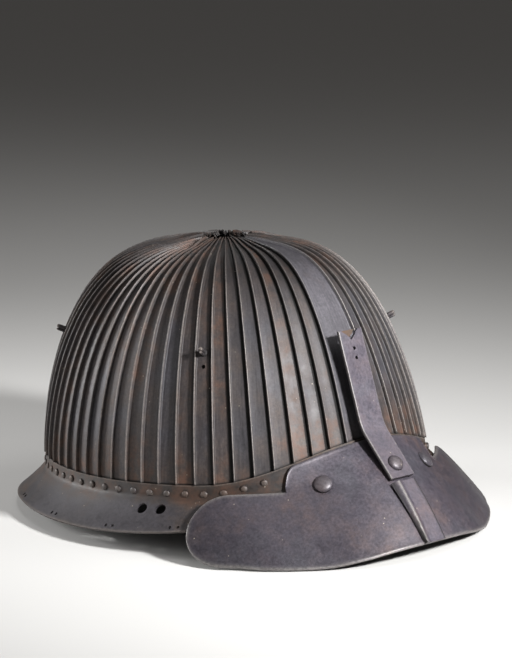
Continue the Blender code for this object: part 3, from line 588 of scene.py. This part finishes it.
def rear_section(width, rise):
    """The wide rear plate across: flat, with a tab under the plate on each side."""
    gauge, tab = PLATE_GAUGE, 3.2 * MM * min(1.0, width / REAR_PLATE_WIDTH)
    # The soot beside the neighbouring plates' ribs is partly painted shade
    top = [(share * width, 0.0, 0.0, soot_and_shade) for share, soot_and_shade in
           ((0, 1), (0.05, 0.8), (0.12, 0.3), (0.25, 0), (0.5, 0), (0.75, 0), (0.88, 0.3), (0.95, 0.8), (1, 1))]
    under = ((width, -gauge - 0.06 * MM, 0, 0.8), (width + tab, -gauge - 0.06 * MM, 0, 0.4),
             (width + tab, -2 * gauge, 0.3, 0), (0.5 * width, -2 * gauge, 0, 0), (-tab, -2 * gauge, 0.3, 0),
             (-tab, -gauge - 0.06 * MM, 0, 0.4), (0.0, -gauge - 0.06 * MM, 0, 0.8))
    return tuple(top) + under


def bowl_plate(name, start, end, side, section, node):
    """One plate from the rim, where it tucks behind the band, to its ragged tip at the crown hole."""
    middle = (start + end) / 2
    shares = climb_shares(round(middle, 4))
    hole = CROWN_HOLE * CHANCE.uniform(0.80, 1.18)
    lift = CHANCE.uniform(1.0, 3.2) * MM
    lean = CHANCE.uniform(-0.12, 0.12) * MM
    tuck = 0.4 * MM + PLATE_TUCK * smooth_step(abs(middle), 28.0, 38.0)
    rows = [(0.0, tuck, 0.0), (0.0, 0.05 * MM, 0.0), (0.0, 0.0, 1.0), (0.3 * shares[1], 0.0, 1.0)]
    rows += [(shares[k], 0.0, 1.0 - 0.45 * smooth_step(k / PLATE_ROWS, 0.66, 1.0)) for k in range(1, PLATE_ROWS + 1)]

    @lru_cache(maxsize=None)
    def row_data(row):
        share, _, fade = rows[row]
        low = climb_at_height(middle, brow_rise(middle))
        high = climb_at_crown(middle, hole)
        angle = low + (high - low) * share
        radius = math.hypot(*dome_point(middle, angle).xy)
        width = radius * math.radians(end - start)
        return section(width, max(RIB_HEIGHT * fade, 0.12 * MM)), radius

    def place(column, row):
        share, below, _ = rows[row]
        profile, radius = row_data(row)
        across, high, rub_and_highlight, soot_and_shade = profile[column]
        # Real plates are never quite true: each leans and dents a little, and its tip lifts
        turn = start + math.degrees(across / radius)
        low = climb_at_height(turn, brow_rise(turn))
        angle = low + (climb_at_crown(turn, hole) - low) * share
        proud = high - RIB_HEIGHT + lift * smooth_step(share, 0.93, 1.0)
        spot = dome_point(side * turn, angle)
        out = dome_out(side * turn, angle)
        dent = 0.16 * MM * noise.noise(spot * 55.0) + lean * math.sin(math.pi * share)
        spot = spot + out * (proud + dent - 0.1 * MM) - Vector((0, 0, below))
        tip = smooth_step(share, 0.97, 1.0)
        rub_and_highlight *= (1.0 - 0.8 * smooth_step(share, 0.55, 0.95)) * smooth_step(share, 0.0, 0.3 * shares[1])
        # The painted highlights and painted shade are weaker on the sides: their ribs are less rubbed bright, and their
        # corners hold less soot, than at the front
        rub_and_highlight *= 1.0 - 0.45 * smooth_step(middle, 45.0, 75.0)
        soot_and_shade *= 1.0 - 0.6 * smooth_step(middle, 45.0, 75.0)
        # The plate's foot, at the rim and behind the band, is painted dark as shade, and the crown tips are darker
        damp = 0.8 * (1.0 - smooth_step(share, 0.0, 0.3 * shares[1]))
        return spot, rub_and_highlight, min(1.0, soot_and_shade + damp + 0.35 * tip * (1 - rub_and_highlight))

    mesh = sheet(len(section(10 * MM, RIB_HEIGHT)), len(rows) - 1, place, wrap_columns=True)
    tone, warmth = CHANCE.uniform(0.44, 0.56), CHANCE.uniform(0.25, 0.75)

    def shade(spot):
        """The front plate has a painted highlight above its middle, the plates nearest the front are painted a little
        darker as shade, and all plates are darker towards the crown.
        """
        if name == "front_plate_iron":
            return 0.70 + 0.20 * math.exp(-((spot.z - 0.098) / 0.016) ** 2) - 0.18 * smooth_step(spot.z, 0.105, 0.124)
        return tone - 0.05 * (1.0 - smooth_step(middle, 30.0, 50.0)) - 0.15 * smooth_step(spot.z, 0.09, 0.123)

    def browning(spot):
        """Brown rust stays near the rim and round the crown."""
        if name == "front_plate_iron":
            return 0.5 * (1.0 - smooth_step(spot.z - brow_rise(0.0), 2 * MM, 26 * MM))
        near_rim = 1.0 - smooth_step(spot.z - brow_rise(middle), 2 * MM, 26 * MM)
        return warmth + 0.5 * near_rim + 0.25 * smooth_step(spot.z, 0.06, 0.12)

    return settle(name, mesh, RUSSET, [node], shade, warmth=browning)


def make_bowl():
    edges = [plate_edge(i) for i in range(SIDE_PLATES + 1)]
    pieces = {}
    bowl_plate("front_plate_iron", -edges[0], edges[0], 1, front_section, "front_plate")
    bowl_plate("rear_plate_iron", edges[-1], 360.0 - edges[-1], 1, rear_section, "rear_plate")
    for side, hand in ((1, "right"), (-1, "left")):
        for index in range(SIDE_PLATES):
            node = f"{hand}_{'front' if index < SIDE_PLATES // 2 else 'rear'}_plates"
            pieces[hand, index + 1] = bowl_plate(
                f"{hand}_plate_{index + 1:02d}", edges[index], edges[index + 1], side, narrow_section, node)
    return pieces


# The visor

def knee_out(turn):
    return KNEE_BASE + KNEE_PEAK * math.exp(-(turn / KNEE_WIDTH) ** 2)


def brim_edge(turn):
    turn = min(abs(turn), VISOR_EDGE[-1][0])
    return VISOR_REACH * along(VISOR_EDGE, turn, 1), VISOR_DROP * along(VISOR_EDGE, turn, 2)


def visor_out(turn, drop):
    """How far outside the rim oval the visor's surface lies, a drop below the rim plane."""
    turn = abs(turn)
    knee = knee_out(turn)
    top = -brow_rise(turn)
    start = dome_radius(turn, -top) - rim_radius(turn)
    reach, edge = brim_edge(turn)
    upper = start + (knee - start) * (drop - top) / (KNEE_DROP - top)
    share = (drop - KNEE_DROP) / (edge - KNEE_DROP)
    lower = knee + (reach - knee) * share + BRIM_BULGE * math.sin(math.pi * min(max(share, 0.0), 1.0))
    below = smooth_step(drop, KNEE_DROP - 2.0 * MM, KNEE_DROP + 2.0 * MM)
    return upper * (1.0 - below) + lower * below


def visor_span(turn):
    turn = abs(turn)
    _, low = brim_edge(turn)
    high = FLANGE_UNDER_BOWL - brow_rise(turn)
    if turn > FLANGE_END[0]:
        share = min(1.0, (turn - FLANGE_END[0]) / (FLANGE_END[1] - FLANGE_END[0]))
        high += (WING_TOP_DROP - high) * (1.0 - math.sqrt(1.0 - share * share))
    if turn > WING_ROUND_FROM:
        share = min(1.0, (turn - WING_ROUND_FROM) / (VISOR_TURN - WING_ROUND_FROM))
        half = (low - high) / 2 * math.sqrt(max(0.0, 1.0 - share ** WING_ROUND_POWER))
        middle = (low + high) / 2
        high, low = middle - half, middle + half
    return high, low


def out_of_rim(turn, out, drop):
    """A point beside the rim oval, out along its normal and a drop below the rim plane."""
    step = 0.5
    before = around(turn - step, rim_radius(turn - step), 0.0)
    after = around(turn + step, rim_radius(turn + step), 0.0)
    normal = (after - before).cross(Vector((0, 0, 1))).normalized()
    if normal.dot(after) < 0:
        normal = -normal
    return around(turn, rim_radius(turn), -drop) + normal * out


def visor_point(turn, drop):
    return out_of_rim(turn, visor_out(turn, drop), drop)


def visor_normal(turn, drop):
    step = 0.5 * MM
    down = visor_point(turn, drop + step) - visor_point(turn, drop - step)
    return upward(down, visor_point(turn + 0.2, drop) - visor_point(turn - 0.2, drop))


def visor_turns():
    flange = [FLANGE_END[0] * k / 22 for k in range(23)]
    notch = [FLANGE_END[0] + (FLANGE_END[1] - FLANGE_END[0]) * s for s in (0.3, 0.55, 0.75, 0.88, 0.96, 1.0)]
    wing = [FLANGE_END[1] + (WING_ROUND_FROM - FLANGE_END[1]) * k / 12 for k in range(1, 13)]
    span = VISOR_TURN - WING_ROUND_FROM
    end = [WING_ROUND_FROM + span * math.sin(math.radians(90.0 * k / 18)) for k in range(1, 19)]
    half = flange + notch + wing + end
    return [-turn for turn in half[:0:-1]] + half


def make_visor():
    """One sheet: the flange up against the bowl, the knee, and the brim with its two wings and thin rolled edge."""
    turns = visor_turns()
    ways = [0.0, 0.4, 0.9, 1.5, 2.4]
    middle = [k / 14 for k in range(1, 14)]
    outer = [("top", way) for way in ways] + [("mid", share) for share in middle] + [("low", way) for way in ways[::-1]]
    column_count = 2 * len(outer)

    def outer_spot(turn, where):
        """How far down a column's point lies, and how far from the sheet's edge in millimetres."""
        high, low = visor_span(turn)
        kind, value = where
        length = max(low - high, 1e-6)
        reach = min(2.4 * MM, 0.45 * length)
        if kind == "top":
            return high + reach * value / 2.4, value
        if kind == "low":
            return low - reach * value / 2.4, value
        return high + reach + (length - 2 * reach) * value, 9.0

    def place(column, row):
        turn = turns[row]
        inner = column >= len(outer)
        where = outer[column_count - 1 - column] if inner else outer[column]
        drop, away = outer_spot(turn, where)
        away = min(away, (VISOR_TURN - abs(turn)) * 2.1)
        spot, normal = visor_point(turn, drop), visor_normal(turn, drop)
        bead = 0.30 * MM * math.exp(-(max(away - 0.5, 0.0) / 0.9) ** 2)
        round_off = 0.55 * MM * max(0.0, 1.0 - away / 0.9) ** 2
        level = round_off - VISOR_GAUGE if inner else bead - round_off
        dent = 0.12 * MM * noise.noise(spot * 45.0)
        # The sheet's edges are rubbed bright, partly a painted highlight along the rolled edge
        rub_and_highlight = 0.75 * math.exp(-(away / 1.1) ** 2)
        if where[0] == "top" and abs(turn) <= FLANGE_END[1]:
            # The flange's top edge is sheltered under the bowl, so it is little rubbed and has little painted highlight
            rub_and_highlight *= 0.2
        # The inner face is painted dark as shade
        return spot + normal * (level + dent), rub_and_highlight, 0.35 if inner else 0.0

    def shade(spot):
        """The middle and the flange are painted lighter than the wings, as a painted highlight, and the wings darker as
        painted shade.
        """
        away = abs(spot.x)
        return (0.62 - 0.10 * smooth_step(away, 0.02, 0.06) - 0.17 * smooth_step(away, 0.075, 0.11)
                + 0.06 * smooth_step(spot.z, -0.006, 0.002))

    mesh = sheet(column_count, len(turns) - 1, place, wrap_columns=True, merge=4e-5)
    settle("visor_sheet", mesh, VISOR_IRON, ["visor"], shade, 45.0)


# The neck plate

def neck_section(turn):
    """The neck plate's outer face at a turn, as out, drop, wear and soot, from its top edge to its lower edge; its
    bright edges are partly painted highlights, and its dark line under the bowl and its fold are painted shade.
    """
    size = abs(turn)
    rise = brow_rise(turn)
    foot = dome_radius(turn, rise) - rim_radius(turn)
    face = foot - RIB_HEIGHT + BAND_PROUD
    drop = SKIRT_DROP * along(SKIRT_EDGE, size, 1)
    top = 0.25 * MM - rise
    fold = BAND_HEIGHT - rise
    rear = [(face + out * MM, start + down * MM, rub_and_highlight, soot_and_shade) for out, start, down, rub_and_highlight, soot_and_shade in (
        (-0.25, top, 0.0, 0.2, 0.5), (0.0, top, 0.2, 0.5, 0.0), (0.03, top, 1.0, 0.1, 0.25), (0.2, top, 3.0, 0.0, 0.1),
        (0.5, fold, -2.2, 0.0, 0.15), (0.8, fold, -0.9, 0.0, 0.3), (1.3, fold, 0.0, 0.0, 0.35))]
    reach = SKIRT_OUT - rear[-1][0]
    for share in (0.07, 0.18, 0.3, 0.42, 0.54, 0.66, 0.78, 0.88, 0.94, 0.98, 1.0):
        out = rear[6][0] + reach * (share - 0.06 * math.sin(math.pi * share))
        rub_and_highlight = 0.55 * smooth_step(share, 0.93, 1.0)
        rear.append((out, fold + (drop - fold) * share, rub_and_highlight, 0.12 * (1 - smooth_step(share, 0.0, 0.2))))
    # At the front the plate runs down behind the visor instead, painted dark there as shade
    front = rear[:3]
    for k, (out, _, _, _) in enumerate(rear[3:], 1):
        down = top + 1.0 * MM + (BROW_BAND - 1.0 * MM) * k / (len(rear) - 3)
        normal = visor_normal(turn, down)
        slant = max(math.hypot(normal.x, normal.y), 0.5)
        follow = visor_out(turn, down) - (VISOR_GAUGE + 0.9 * MM) / slant
        front.append((max(min(follow, out + 30 * MM), face - 0.6 * MM), down, 0.0, 0.3))
    part = smooth_step(size, *SKIRT_FADE)
    return [tuple(a + (b - a) * part for a, b in zip(near, far)) for near, far in zip(front, rear)]


def neck_out(section, drop):
    """How far out a section of the neck plate is at a drop."""
    for near, far in zip(section, section[1:]):
        if drop <= far[1] + 1e-9:
            return near[0] + (far[0] - near[0]) * (drop - near[1]) / (far[1] - near[1])
    return section[-1][0]


def neck_place(turn, share):
    """A point on the skirt, a share of the way from the fold to the lower edge."""
    section = neck_section(turn)[6:]
    drop = section[0][1] + (section[-1][1] - section[0][1]) * share
    return out_of_rim(turn, neck_out(section, drop), drop)


def neck_normal(turn, share):
    down = neck_place(turn, share + 0.02) - neck_place(turn, share - 0.02)
    return upward(down, neck_place(turn + 0.5, share) - neck_place(turn - 0.5, share))


def make_neck_plate():
    stations = 180
    outer = len(neck_section(90.0))
    sections = [neck_section(-180.0 + 360.0 * k / stations) for k in range(stations)]

    def surface(row, column):
        out, drop, rub_and_highlight, soot_and_shade = sections[row % stations][column]
        return out_of_rim(-180.0 + 360.0 * (row % stations) / stations, out, drop), rub_and_highlight, soot_and_shade

    def place(column, row):
        inner = column >= outer
        source = 2 * outer - 1 - column if inner else column
        spot, rub_and_highlight, soot_and_shade = surface(row, source)
        above, below = surface(row, max(source - 1, 0))[0], surface(row, min(source + 1, outer - 1))[0]
        left, right = surface(row - 1, source)[0], surface(row + 1, source)[0]
        normal = (below - above).cross(right - left).normalized()
        if normal.dot(spot) < 0:
            normal = -normal
        dent = 0.18 * MM * noise.noise(spot * 40.0)
        # The inner face is painted dark as shade
        if inner:
            return spot - normal * (NECK_GAUGE - dent), rub_and_highlight * 0.5, 0.3
        return spot + normal * dent, rub_and_highlight, soot_and_shade

    mesh = sheet(2 * outer, stations, place, wrap_columns=True, wrap_rows=True)
    # The band is darker and browner than the skirt
    plate = settle("neck_plate_sheet", mesh, NECK_IRON, ["neck_plate"],
                   lambda spot: 0.46 - 0.14 * smooth_step(spot.z, -0.012, -0.006), 42.0,
                   lambda spot: 0.35 + 0.75 * smooth_step(spot.z, -0.016, -0.006))

    def hole(turn, share, radius, steps):
        return drill(radius, NECK_DRILL_REACH, steps), facing(neck_place(turn, share), neck_normal(turn, share))

    cutters = []
    for side in (1, -1):
        cutters += [hole(side * turn, LARGE_HOLE_SHARE, LARGE_HOLE_RADIUS, 28) for turn in LARGE_HOLES]
        for turn in LACE_HOLES:
            if turn == 180.0 and side < 0:
                continue
            half = math.degrees(LACE_HOLE_SPACING / 2 / (rim_radius(turn) + SKIRT_OUT))
            cutters += [hole(side * turn + away, LACE_HOLE_SHARE, LACE_HOLE_RADIUS, 14) for away in (-half, half)]
    cut(plate, cutters)

    profile = ((1.75, -0.5), (1.75, 0.05), (1.66, 0.42), (1.38, 0.72), (0.85, 0.93), (0.0, 1.0))
    heads = []
    turns = [side * (plate_edge(i - 1) + plate_edge(i)) / 2 for side in (1, -1) for i in range(1, SIDE_PLATES + 1)]
    for turn in [turn for turn in turns if abs(turn) > BAND_RIVET_FIRST] + [180.0]:
        drop = BAND_RIVET_BELOW - brow_rise(turn) + CHANCE.uniform(-0.25, 0.25) * MM
        out = neck_out(neck_section(turn), drop)
        spot = out_of_rim(turn, out, drop)
        away = out_of_rim(turn, out + 10 * MM, drop + 0.6 * MM) - spot
        size = CHANCE.uniform(1.12, 1.28) * MM
        head = spun([(radius * size, height * size) for radius, height in profile], 14)
        # The head's top is rubbed bright, partly a painted highlight, and its foot painted dark as contact shade
        paint(head, (0.35, 0.5, 1.0), (0.8, 0.0, 0.5))
        heads.append((head, facing(spot, away.normalized())))
    settle("neck_plate_rivets", joined(heads), NECK_IRON, ["neck_plate"], 0.44, 50.0, 0.85)


# The crest holder, its strip, the large rivets and the split pins

def holder_line():
    """The holder's back face in the middle plane: foot, bend and top."""
    bend_y = -dome_radius(0.0, HOLDER_BEND) - HOLDER_STANDOFF_BEND + HOLDER_GAUGE
    top_y = -dome_radius(0.0, HOLDER_TOP) - HOLDER_STANDOFF_TOP + HOLDER_GAUGE
    foot = visor_point(0.0, HOLDER_FOOT_DROP) + visor_normal(0.0, HOLDER_FOOT_DROP) * HOLDER_GAP
    return Vector((0, foot.y, foot.z)), Vector((0, bend_y, HOLDER_BEND)), Vector((0, top_y, HOLDER_TOP))


def bent_strip(line, width_at, depth, corner, tops, rubs_and_highlights, soots_and_shades=(), profile=None):
    """A strip swept along a line in the middle plane, with rounded edges. The line is its back face.

    tops are the points across its face, from 1 to -1. The rub marks say where across the face it is rubbed bright,
    partly as a painted highlight, at each share of its length, how much and how wide, and the soot marks where it is
    painted black as shade. profile shapes the face.
    """
    normals = []
    for i in range(len(line)):
        run = line[min(i + 1, len(line) - 1)] - line[max(i - 1, 0)]
        normals.append(Vector((0, -run.z, run.y)).normalized())
    quarter = [(math.cos(a), math.sin(a)) for a in [math.radians(22.5 * k) for k in range(5)]]

    def section(width):
        half = width / 2
        points = []
        for sx, sy, cells in ((1, 1, quarter), (-1, 1, quarter[::-1]), (-1, -1, quarter), (1, -1, quarter[::-1])):
            for cx, cy in cells:
                high = depth / 2 + sy * (depth / 2 - corner + corner * cy)
                points.append((sx * (half - corner + corner * cx), high))
            if sy == 1 and sx == 1:
                points += [(half * s, depth) for s in tops]
        return points

    def strongest(marks, across, half, way):
        return max([strength * math.exp(-((across - where(way) * half) / breadth) ** 2)
                    for where, strength, breadth in marks] + [0.0])

    def place(column, row):
        way = row / (len(line) - 1)
        half = width_at(way) / 2
        across, high = section(2 * half)[column]
        if profile and high > depth * 0.5:
            high = profile(across / half, way)
        spot = line[row] + Vector((across, 0, 0)) + normals[row] * high
        if high > 0.2 * depth:
            return spot, strongest(rubs_and_highlights, across, half, way), strongest(soots_and_shades, across, half, way)
        # The back and the sides are a little worn and half black, painted shade
        return spot, 0.2, 0.5

    return sheet(len(section(10 * MM)), len(line) - 1, place, wrap_columns=True)


def make_holder():
    foot, bend, top = holder_line()
    start = bend + (foot - bend).normalized() * HOLDER_BEND_RADIUS
    end = bend + (top - bend).normalized() * HOLDER_BEND_RADIUS
    line = [foot.lerp(start, k / 6) for k in range(6)]
    line += [start * (1 - u) ** 2 + bend * 2 * u * (1 - u) + end * u * u for u in [k / 8 for k in range(9)]]
    line += [end.lerp(top, k / 12) for k in range(1, 13)]
    # Both long edges are rubbed bright; the left one more, as a painted highlight
    mesh = bent_strip(line, lambda way: HOLDER_WIDTH, HOLDER_GAUGE, 0.35 * MM,
                      (0.93, 0.86, 0.4, 0.0, -0.4, -0.86, -0.93),
                      ((lambda way: -0.98, 0.9, 0.45 * MM), (lambda way: 0.98, 0.3, 0.45 * MM)))
    holder = settle("crest_holder_iron", mesh, VISOR_IRON, ["crest_holder"], 0.8)
    up = (top - bend).normalized()
    away = Vector((0, -up.z, up.y))
    cut(holder, [(drill(HOLDER_HOLE_RADIUS, 6 * MM, 16), facing(top - up * drop, away)) for drop in HOLDER_HOLE_DROPS])

    # The broken top: a jagged bite right through, and a shallow chip beside it in the front half of the thickness.
    # Each outline is shares of the width and millimetres above the top edge
    through = ((0.69, 1.5), (0.68, -0.5), (0.58, -2.4), (0.44, -3.9), (0.42, -4.8), (0.47, -6.0), (0.54, -4.7),
               (0.67, -3.0), (0.72, -1.6), (0.82, -0.5), (0.86, 1.5))
    chip = ((0.12, 1.5), (0.13, -0.5), (0.19, -1.2), (0.30, -2.6), (0.38, -3.9), (0.46, -4.6), (0.60, -2.2),
            (0.70, -0.4), (0.71, 1.5))
    upright = Matrix.Translation(top) @ Matrix((Vector((1, 0, 0)), up, away)).transposed().to_4x4()
    for outline, back, front, inside in ((through, -6.0, 6.0, VISOR_IRON), (chip, 0.9, 6.0, BROKEN_IRON)):
        bite = blank_mesh()
        ring = [bite.verts.new(((share - 0.5) * HOLDER_WIDTH, rise * MM, back * MM)) for share, rise in outline]
        pushed = bmesh.ops.extrude_face_region(bite, geom=[bite.faces.new(ring)])
        for vertex in [item for item in pushed["geom"] if isinstance(item, bmesh.types.BMVert)]:
            vertex.co.z = front * MM
        bmesh.ops.recalc_face_normals(bite, faces=bite.faces)
        cut(holder, [(bite, upright)], inside)


def make_strip():
    """The strip on the brim: a rounded ridge along its right side, nearer the middle at the top, then flat."""
    _, edge = brim_edge(0.0)
    line = []
    for k in range(25):
        drop = STRIP_FIRST + (edge - STRIP_FIRST) * k / 24
        line.append(visor_point(0.0, drop) + visor_normal(0.0, drop) * STRIP_LIFT - Vector((STRIP_SHIFT, 0, 0)))

    def crest(way):
        return -0.92 + 0.44 * way

    def ridge(share, way):
        climb = smooth_step(share, -1.0, crest(way) - 0.04)
        fall = smooth_step(share, crest(way) + 0.04, crest(way) + 0.42)
        return (0.3 + 1.9 * climb - 1.35 * fall) * MM

    tops = (0.95, 0.8, 0.5, 0.3, 0.12, 0.0, -0.1, -0.18, -0.26, -0.34, -0.42, -0.5, -0.58, -0.66, -0.74, -0.82,
            -0.9, -0.95)
    # The crest is rubbed bright as a painted highlight, and the left flank and both edges are painted dark as shade
    mesh = bent_strip(line[::-1], lambda way: (15.2 + 2.7 * way) * MM, 1.1 * MM, 0.3 * MM, tops,
                      ((crest, 1.0, 0.95 * MM),),
                      ((lambda way: -1.0, 0.95, 0.9 * MM), (lambda way: -1.4 + 0.55 * way, 0.9, 2.0 * MM),
                       (lambda way: 1.0, 1.0, 0.7 * MM)), ridge)
    settle("visor_strip_iron", mesh, VISOR_IRON, ["visor_centre_strip"], 0.84)


def make_rivets():
    profile = ((0.0, -2.2), (3.4, -2.2), (4.8, -0.3), (4.95, 0.15), (4.9, 0.6), (4.72, 1.05), (4.35, 1.5),
               (3.7, 1.95), (2.8, 2.3), (1.8, 2.52), (0.9, 2.62), (0.0, 2.65))
    foot, bend, _ = holder_line()
    run = (bend - foot).normalized()
    front = Vector((0, -run.z, run.y))
    places = {"centre": facing(foot + run * RIVET_CENTRE_ALONG + front * (HOLDER_GAUGE - 0.2 * MM), front)}
    for hand, side in (("right", 1), ("left", -1)):
        spot = visor_point(side * RIVET_SIDE_TURN, RIVET_SIDE_DROP)
        normal = visor_normal(side * RIVET_SIDE_TURN, RIVET_LEAN_DROP)
        places[hand] = facing(spot + normal * 0.2 * MM, normal)
    for hand, place in places.items():
        size = (1.0 if hand == "centre" else 1.14) * MM
        head = spun([(radius * size, height * size) for radius, height in profile], 40)
        # The dome's top is a little rubbed, and its foot painted dark as contact shade
        paint(head, (0.15, 1.2, 2.6), (1.0, 0.3, 1.0))
        head.transform(place)
        settle(f"{hand}_rivet_head", head, VISOR_IRON, [f"{hand}_visor_rivet"], 0.54, 50.0)


def make_studs(plates):
    """Four split pins: a thick prong over a thin one through a plate, with a small cord hole below each."""
    for side, hand in ((1, "right"), (-1, "left")):
        for where, plate, height, apart in STUDS:
            turn = side * (plate_edge(plate - 1) + plate_edge(plate)) / 2
            angle = climb_at_height(turn, height)
            base = dome_point(turn, angle) - dome_out(turn, angle) * RIB_HEIGHT
            parts = []
            for rise, radius, length, lean in ((0.70, 1.22, 7.4, -0.5), (-0.98, 0.80, 7.0, 1.5)):
                outline = ((0.0, -0.6), (radius, -0.6), (radius, 0.3 * length), (0.97 * radius, 0.75 * length),
                           (0.85 * radius, 0.92 * length), (0.5 * radius, 0.985 * length), (0.0, length))
                prong = spun([(wide * MM, high * MM) for wide, high in outline], 18)
                # Each prong's tip is rubbed bright, partly a painted highlight, and its foot painted dark as shade
                paint(prong, (0.7, 5.2, 7.2), (0.7, 0.0, 3.0))
                tipped = Matrix.Rotation(math.radians(lean), 4, "X")
                parts.append((prong, Matrix.Translation((0, rise * MM, 0)) @ tipped))
            collar = spun([(radius * MM, high * MM) for radius, high in
                           ((0.0, -0.3), (2.2, -0.3), (2.25, 0.3), (2.0, 0.8), (1.6, 1.0), (0.0, 1.05))], 24)
            # The collar's foot is painted dark as contact shade
            paint(collar, (0.0, 0.0, 1.0), (0.75, 2.0, 3.0))
            parts.append((collar, Matrix.Identity(4)))
            mesh = joined(parts)
            mesh.transform(facing(base, dome_out(turn, angle)))
            settle(f"{hand}_{where}_split_pin", mesh, NECK_IRON, [f"{hand}_{where}_stud"], 0.55, 50.0)
            below = climb_at_height(turn, height - apart)
            hole = facing(dome_point(turn, below), dome_out(turn, below))
            cut(plates[hand, plate], [(drill(CORD_HOLE_RADIUS, 8 * MM, 16), hole)])


plates = make_bowl()
make_visor()
make_neck_plate()
make_holder()
make_strip()
make_rivets()
make_studs(plates)


# Floor, light and camera

def light(name, azimuth, elevation, distance, size, power, aim, spread=180.0):
    """A square white softbox that faces its aim from a turn and a height; its grid narrows the beam."""
    lamp = bpy.data.lights.new(name, "AREA")
    lamp.shape, lamp.size, lamp.energy = "SQUARE", size, power
    lamp.spread = math.radians(spread)
    made = put(name, lamp)
    flat = distance * math.cos(math.radians(elevation))
    made.location = around(azimuth, flat, distance * math.sin(math.radians(elevation))) + Vector(aim)
    made.rotation_euler = (Vector(aim) - made.location).to_track_quat("-Z", "Y").to_euler()


# Matt white background paper, a hair below the helmet's feet
FLOOR_DROP = 0.3 * MM
paper = bpy.data.materials.new("white_paper")
paper.use_nodes = True
paper_skin = paper.node_tree.nodes["Principled BSDF"].inputs
paper_skin["Base Color"].default_value = tone_of("#CAC9C7")
paper_skin["Roughness"].default_value = 0.9
floor_mesh = bmesh.new()
bmesh.ops.create_grid(floor_mesh, x_segments=1, y_segments=1, size=9.0, matrix=Matrix.Translation((0, 0, -FLOOR_DROP)))
floor_data = finished("paper_floor", floor_mesh)
floor_data.materials.append(paper)
floor = put("paper_floor", floor_data)

# A small key from the front draws the ribs' and the holder's shadows, and the others fill
light("key_softbox", -3.0, 28.0, 0.95, 0.13, 3.0, (0.0, -0.10, 0.09), 60.0)
light("side_softbox", -55.0, 45.0, 1.1, 0.6, 1.0, (0.0, -0.05, 0.06), 100.0)
light("top_softbox", 60.0, 80.0, 0.64, 0.12, 0.5, (-0.05, -0.07, 0.08))
light("left_strip", 150.0, 14.0, 1.2, 0.5, 1.9, (-0.05, 0.05, 0.07), 60.0)
light("left_softbox", 108.0, 20.0, 1.2, 0.9, 0.8, (-0.05, 0.0, 0.07), 60.0)
# This one hangs over the floor behind the helmet, which is bright there and falls off to dark grey
light("back_softbox", 220.7, 89.0, 0.9, 0.5, 1.25, (0.52, 0.61, 0.0))
world = bpy.data.worlds.new("studio_air")
world.use_nodes = True
air = world.node_tree.nodes["Background"].inputs
air["Color"].default_value = (1.0, 0.96, 0.93, 1.0)
air["Strength"].default_value = 0.074
bpy.context.scene.world = world
bpy.context.scene.view_settings.view_transform = "Standard"

# The camera stands where the photograph's outline, rim and ribs place it
CAMERA_PLACE = Vector((-1.09738, -1.27734, 0.45299))
CAMERA_AHEAD = Vector((0.64012, 0.74151, -0.20102)).normalized()
CAMERA_ROLL = -0.911
PHOTO_HEIGHT_PX = 658
FOCAL_PX = 2903.9
camera_data = bpy.data.cameras.new("photo_camera")
camera_data.sensor_fit = "VERTICAL"
camera_data.sensor_height = 36.0
camera_data.lens = FOCAL_PX * camera_data.sensor_height / PHOTO_HEIGHT_PX
camera = put("photo_camera", camera_data)
level = CAMERA_AHEAD.cross(Vector((0, 0, 1))).normalized()
above = level.cross(CAMERA_AHEAD)
roll = math.radians(CAMERA_ROLL)
right = level * math.cos(roll) + above * math.sin(roll)
upward = above * math.cos(roll) - level * math.sin(roll)
camera.matrix_world = Matrix.Translation(CAMERA_PLACE) @ Matrix((right, upward, -CAMERA_AHEAD)).transposed().to_4x4()
bpy.context.scene.camera = camera
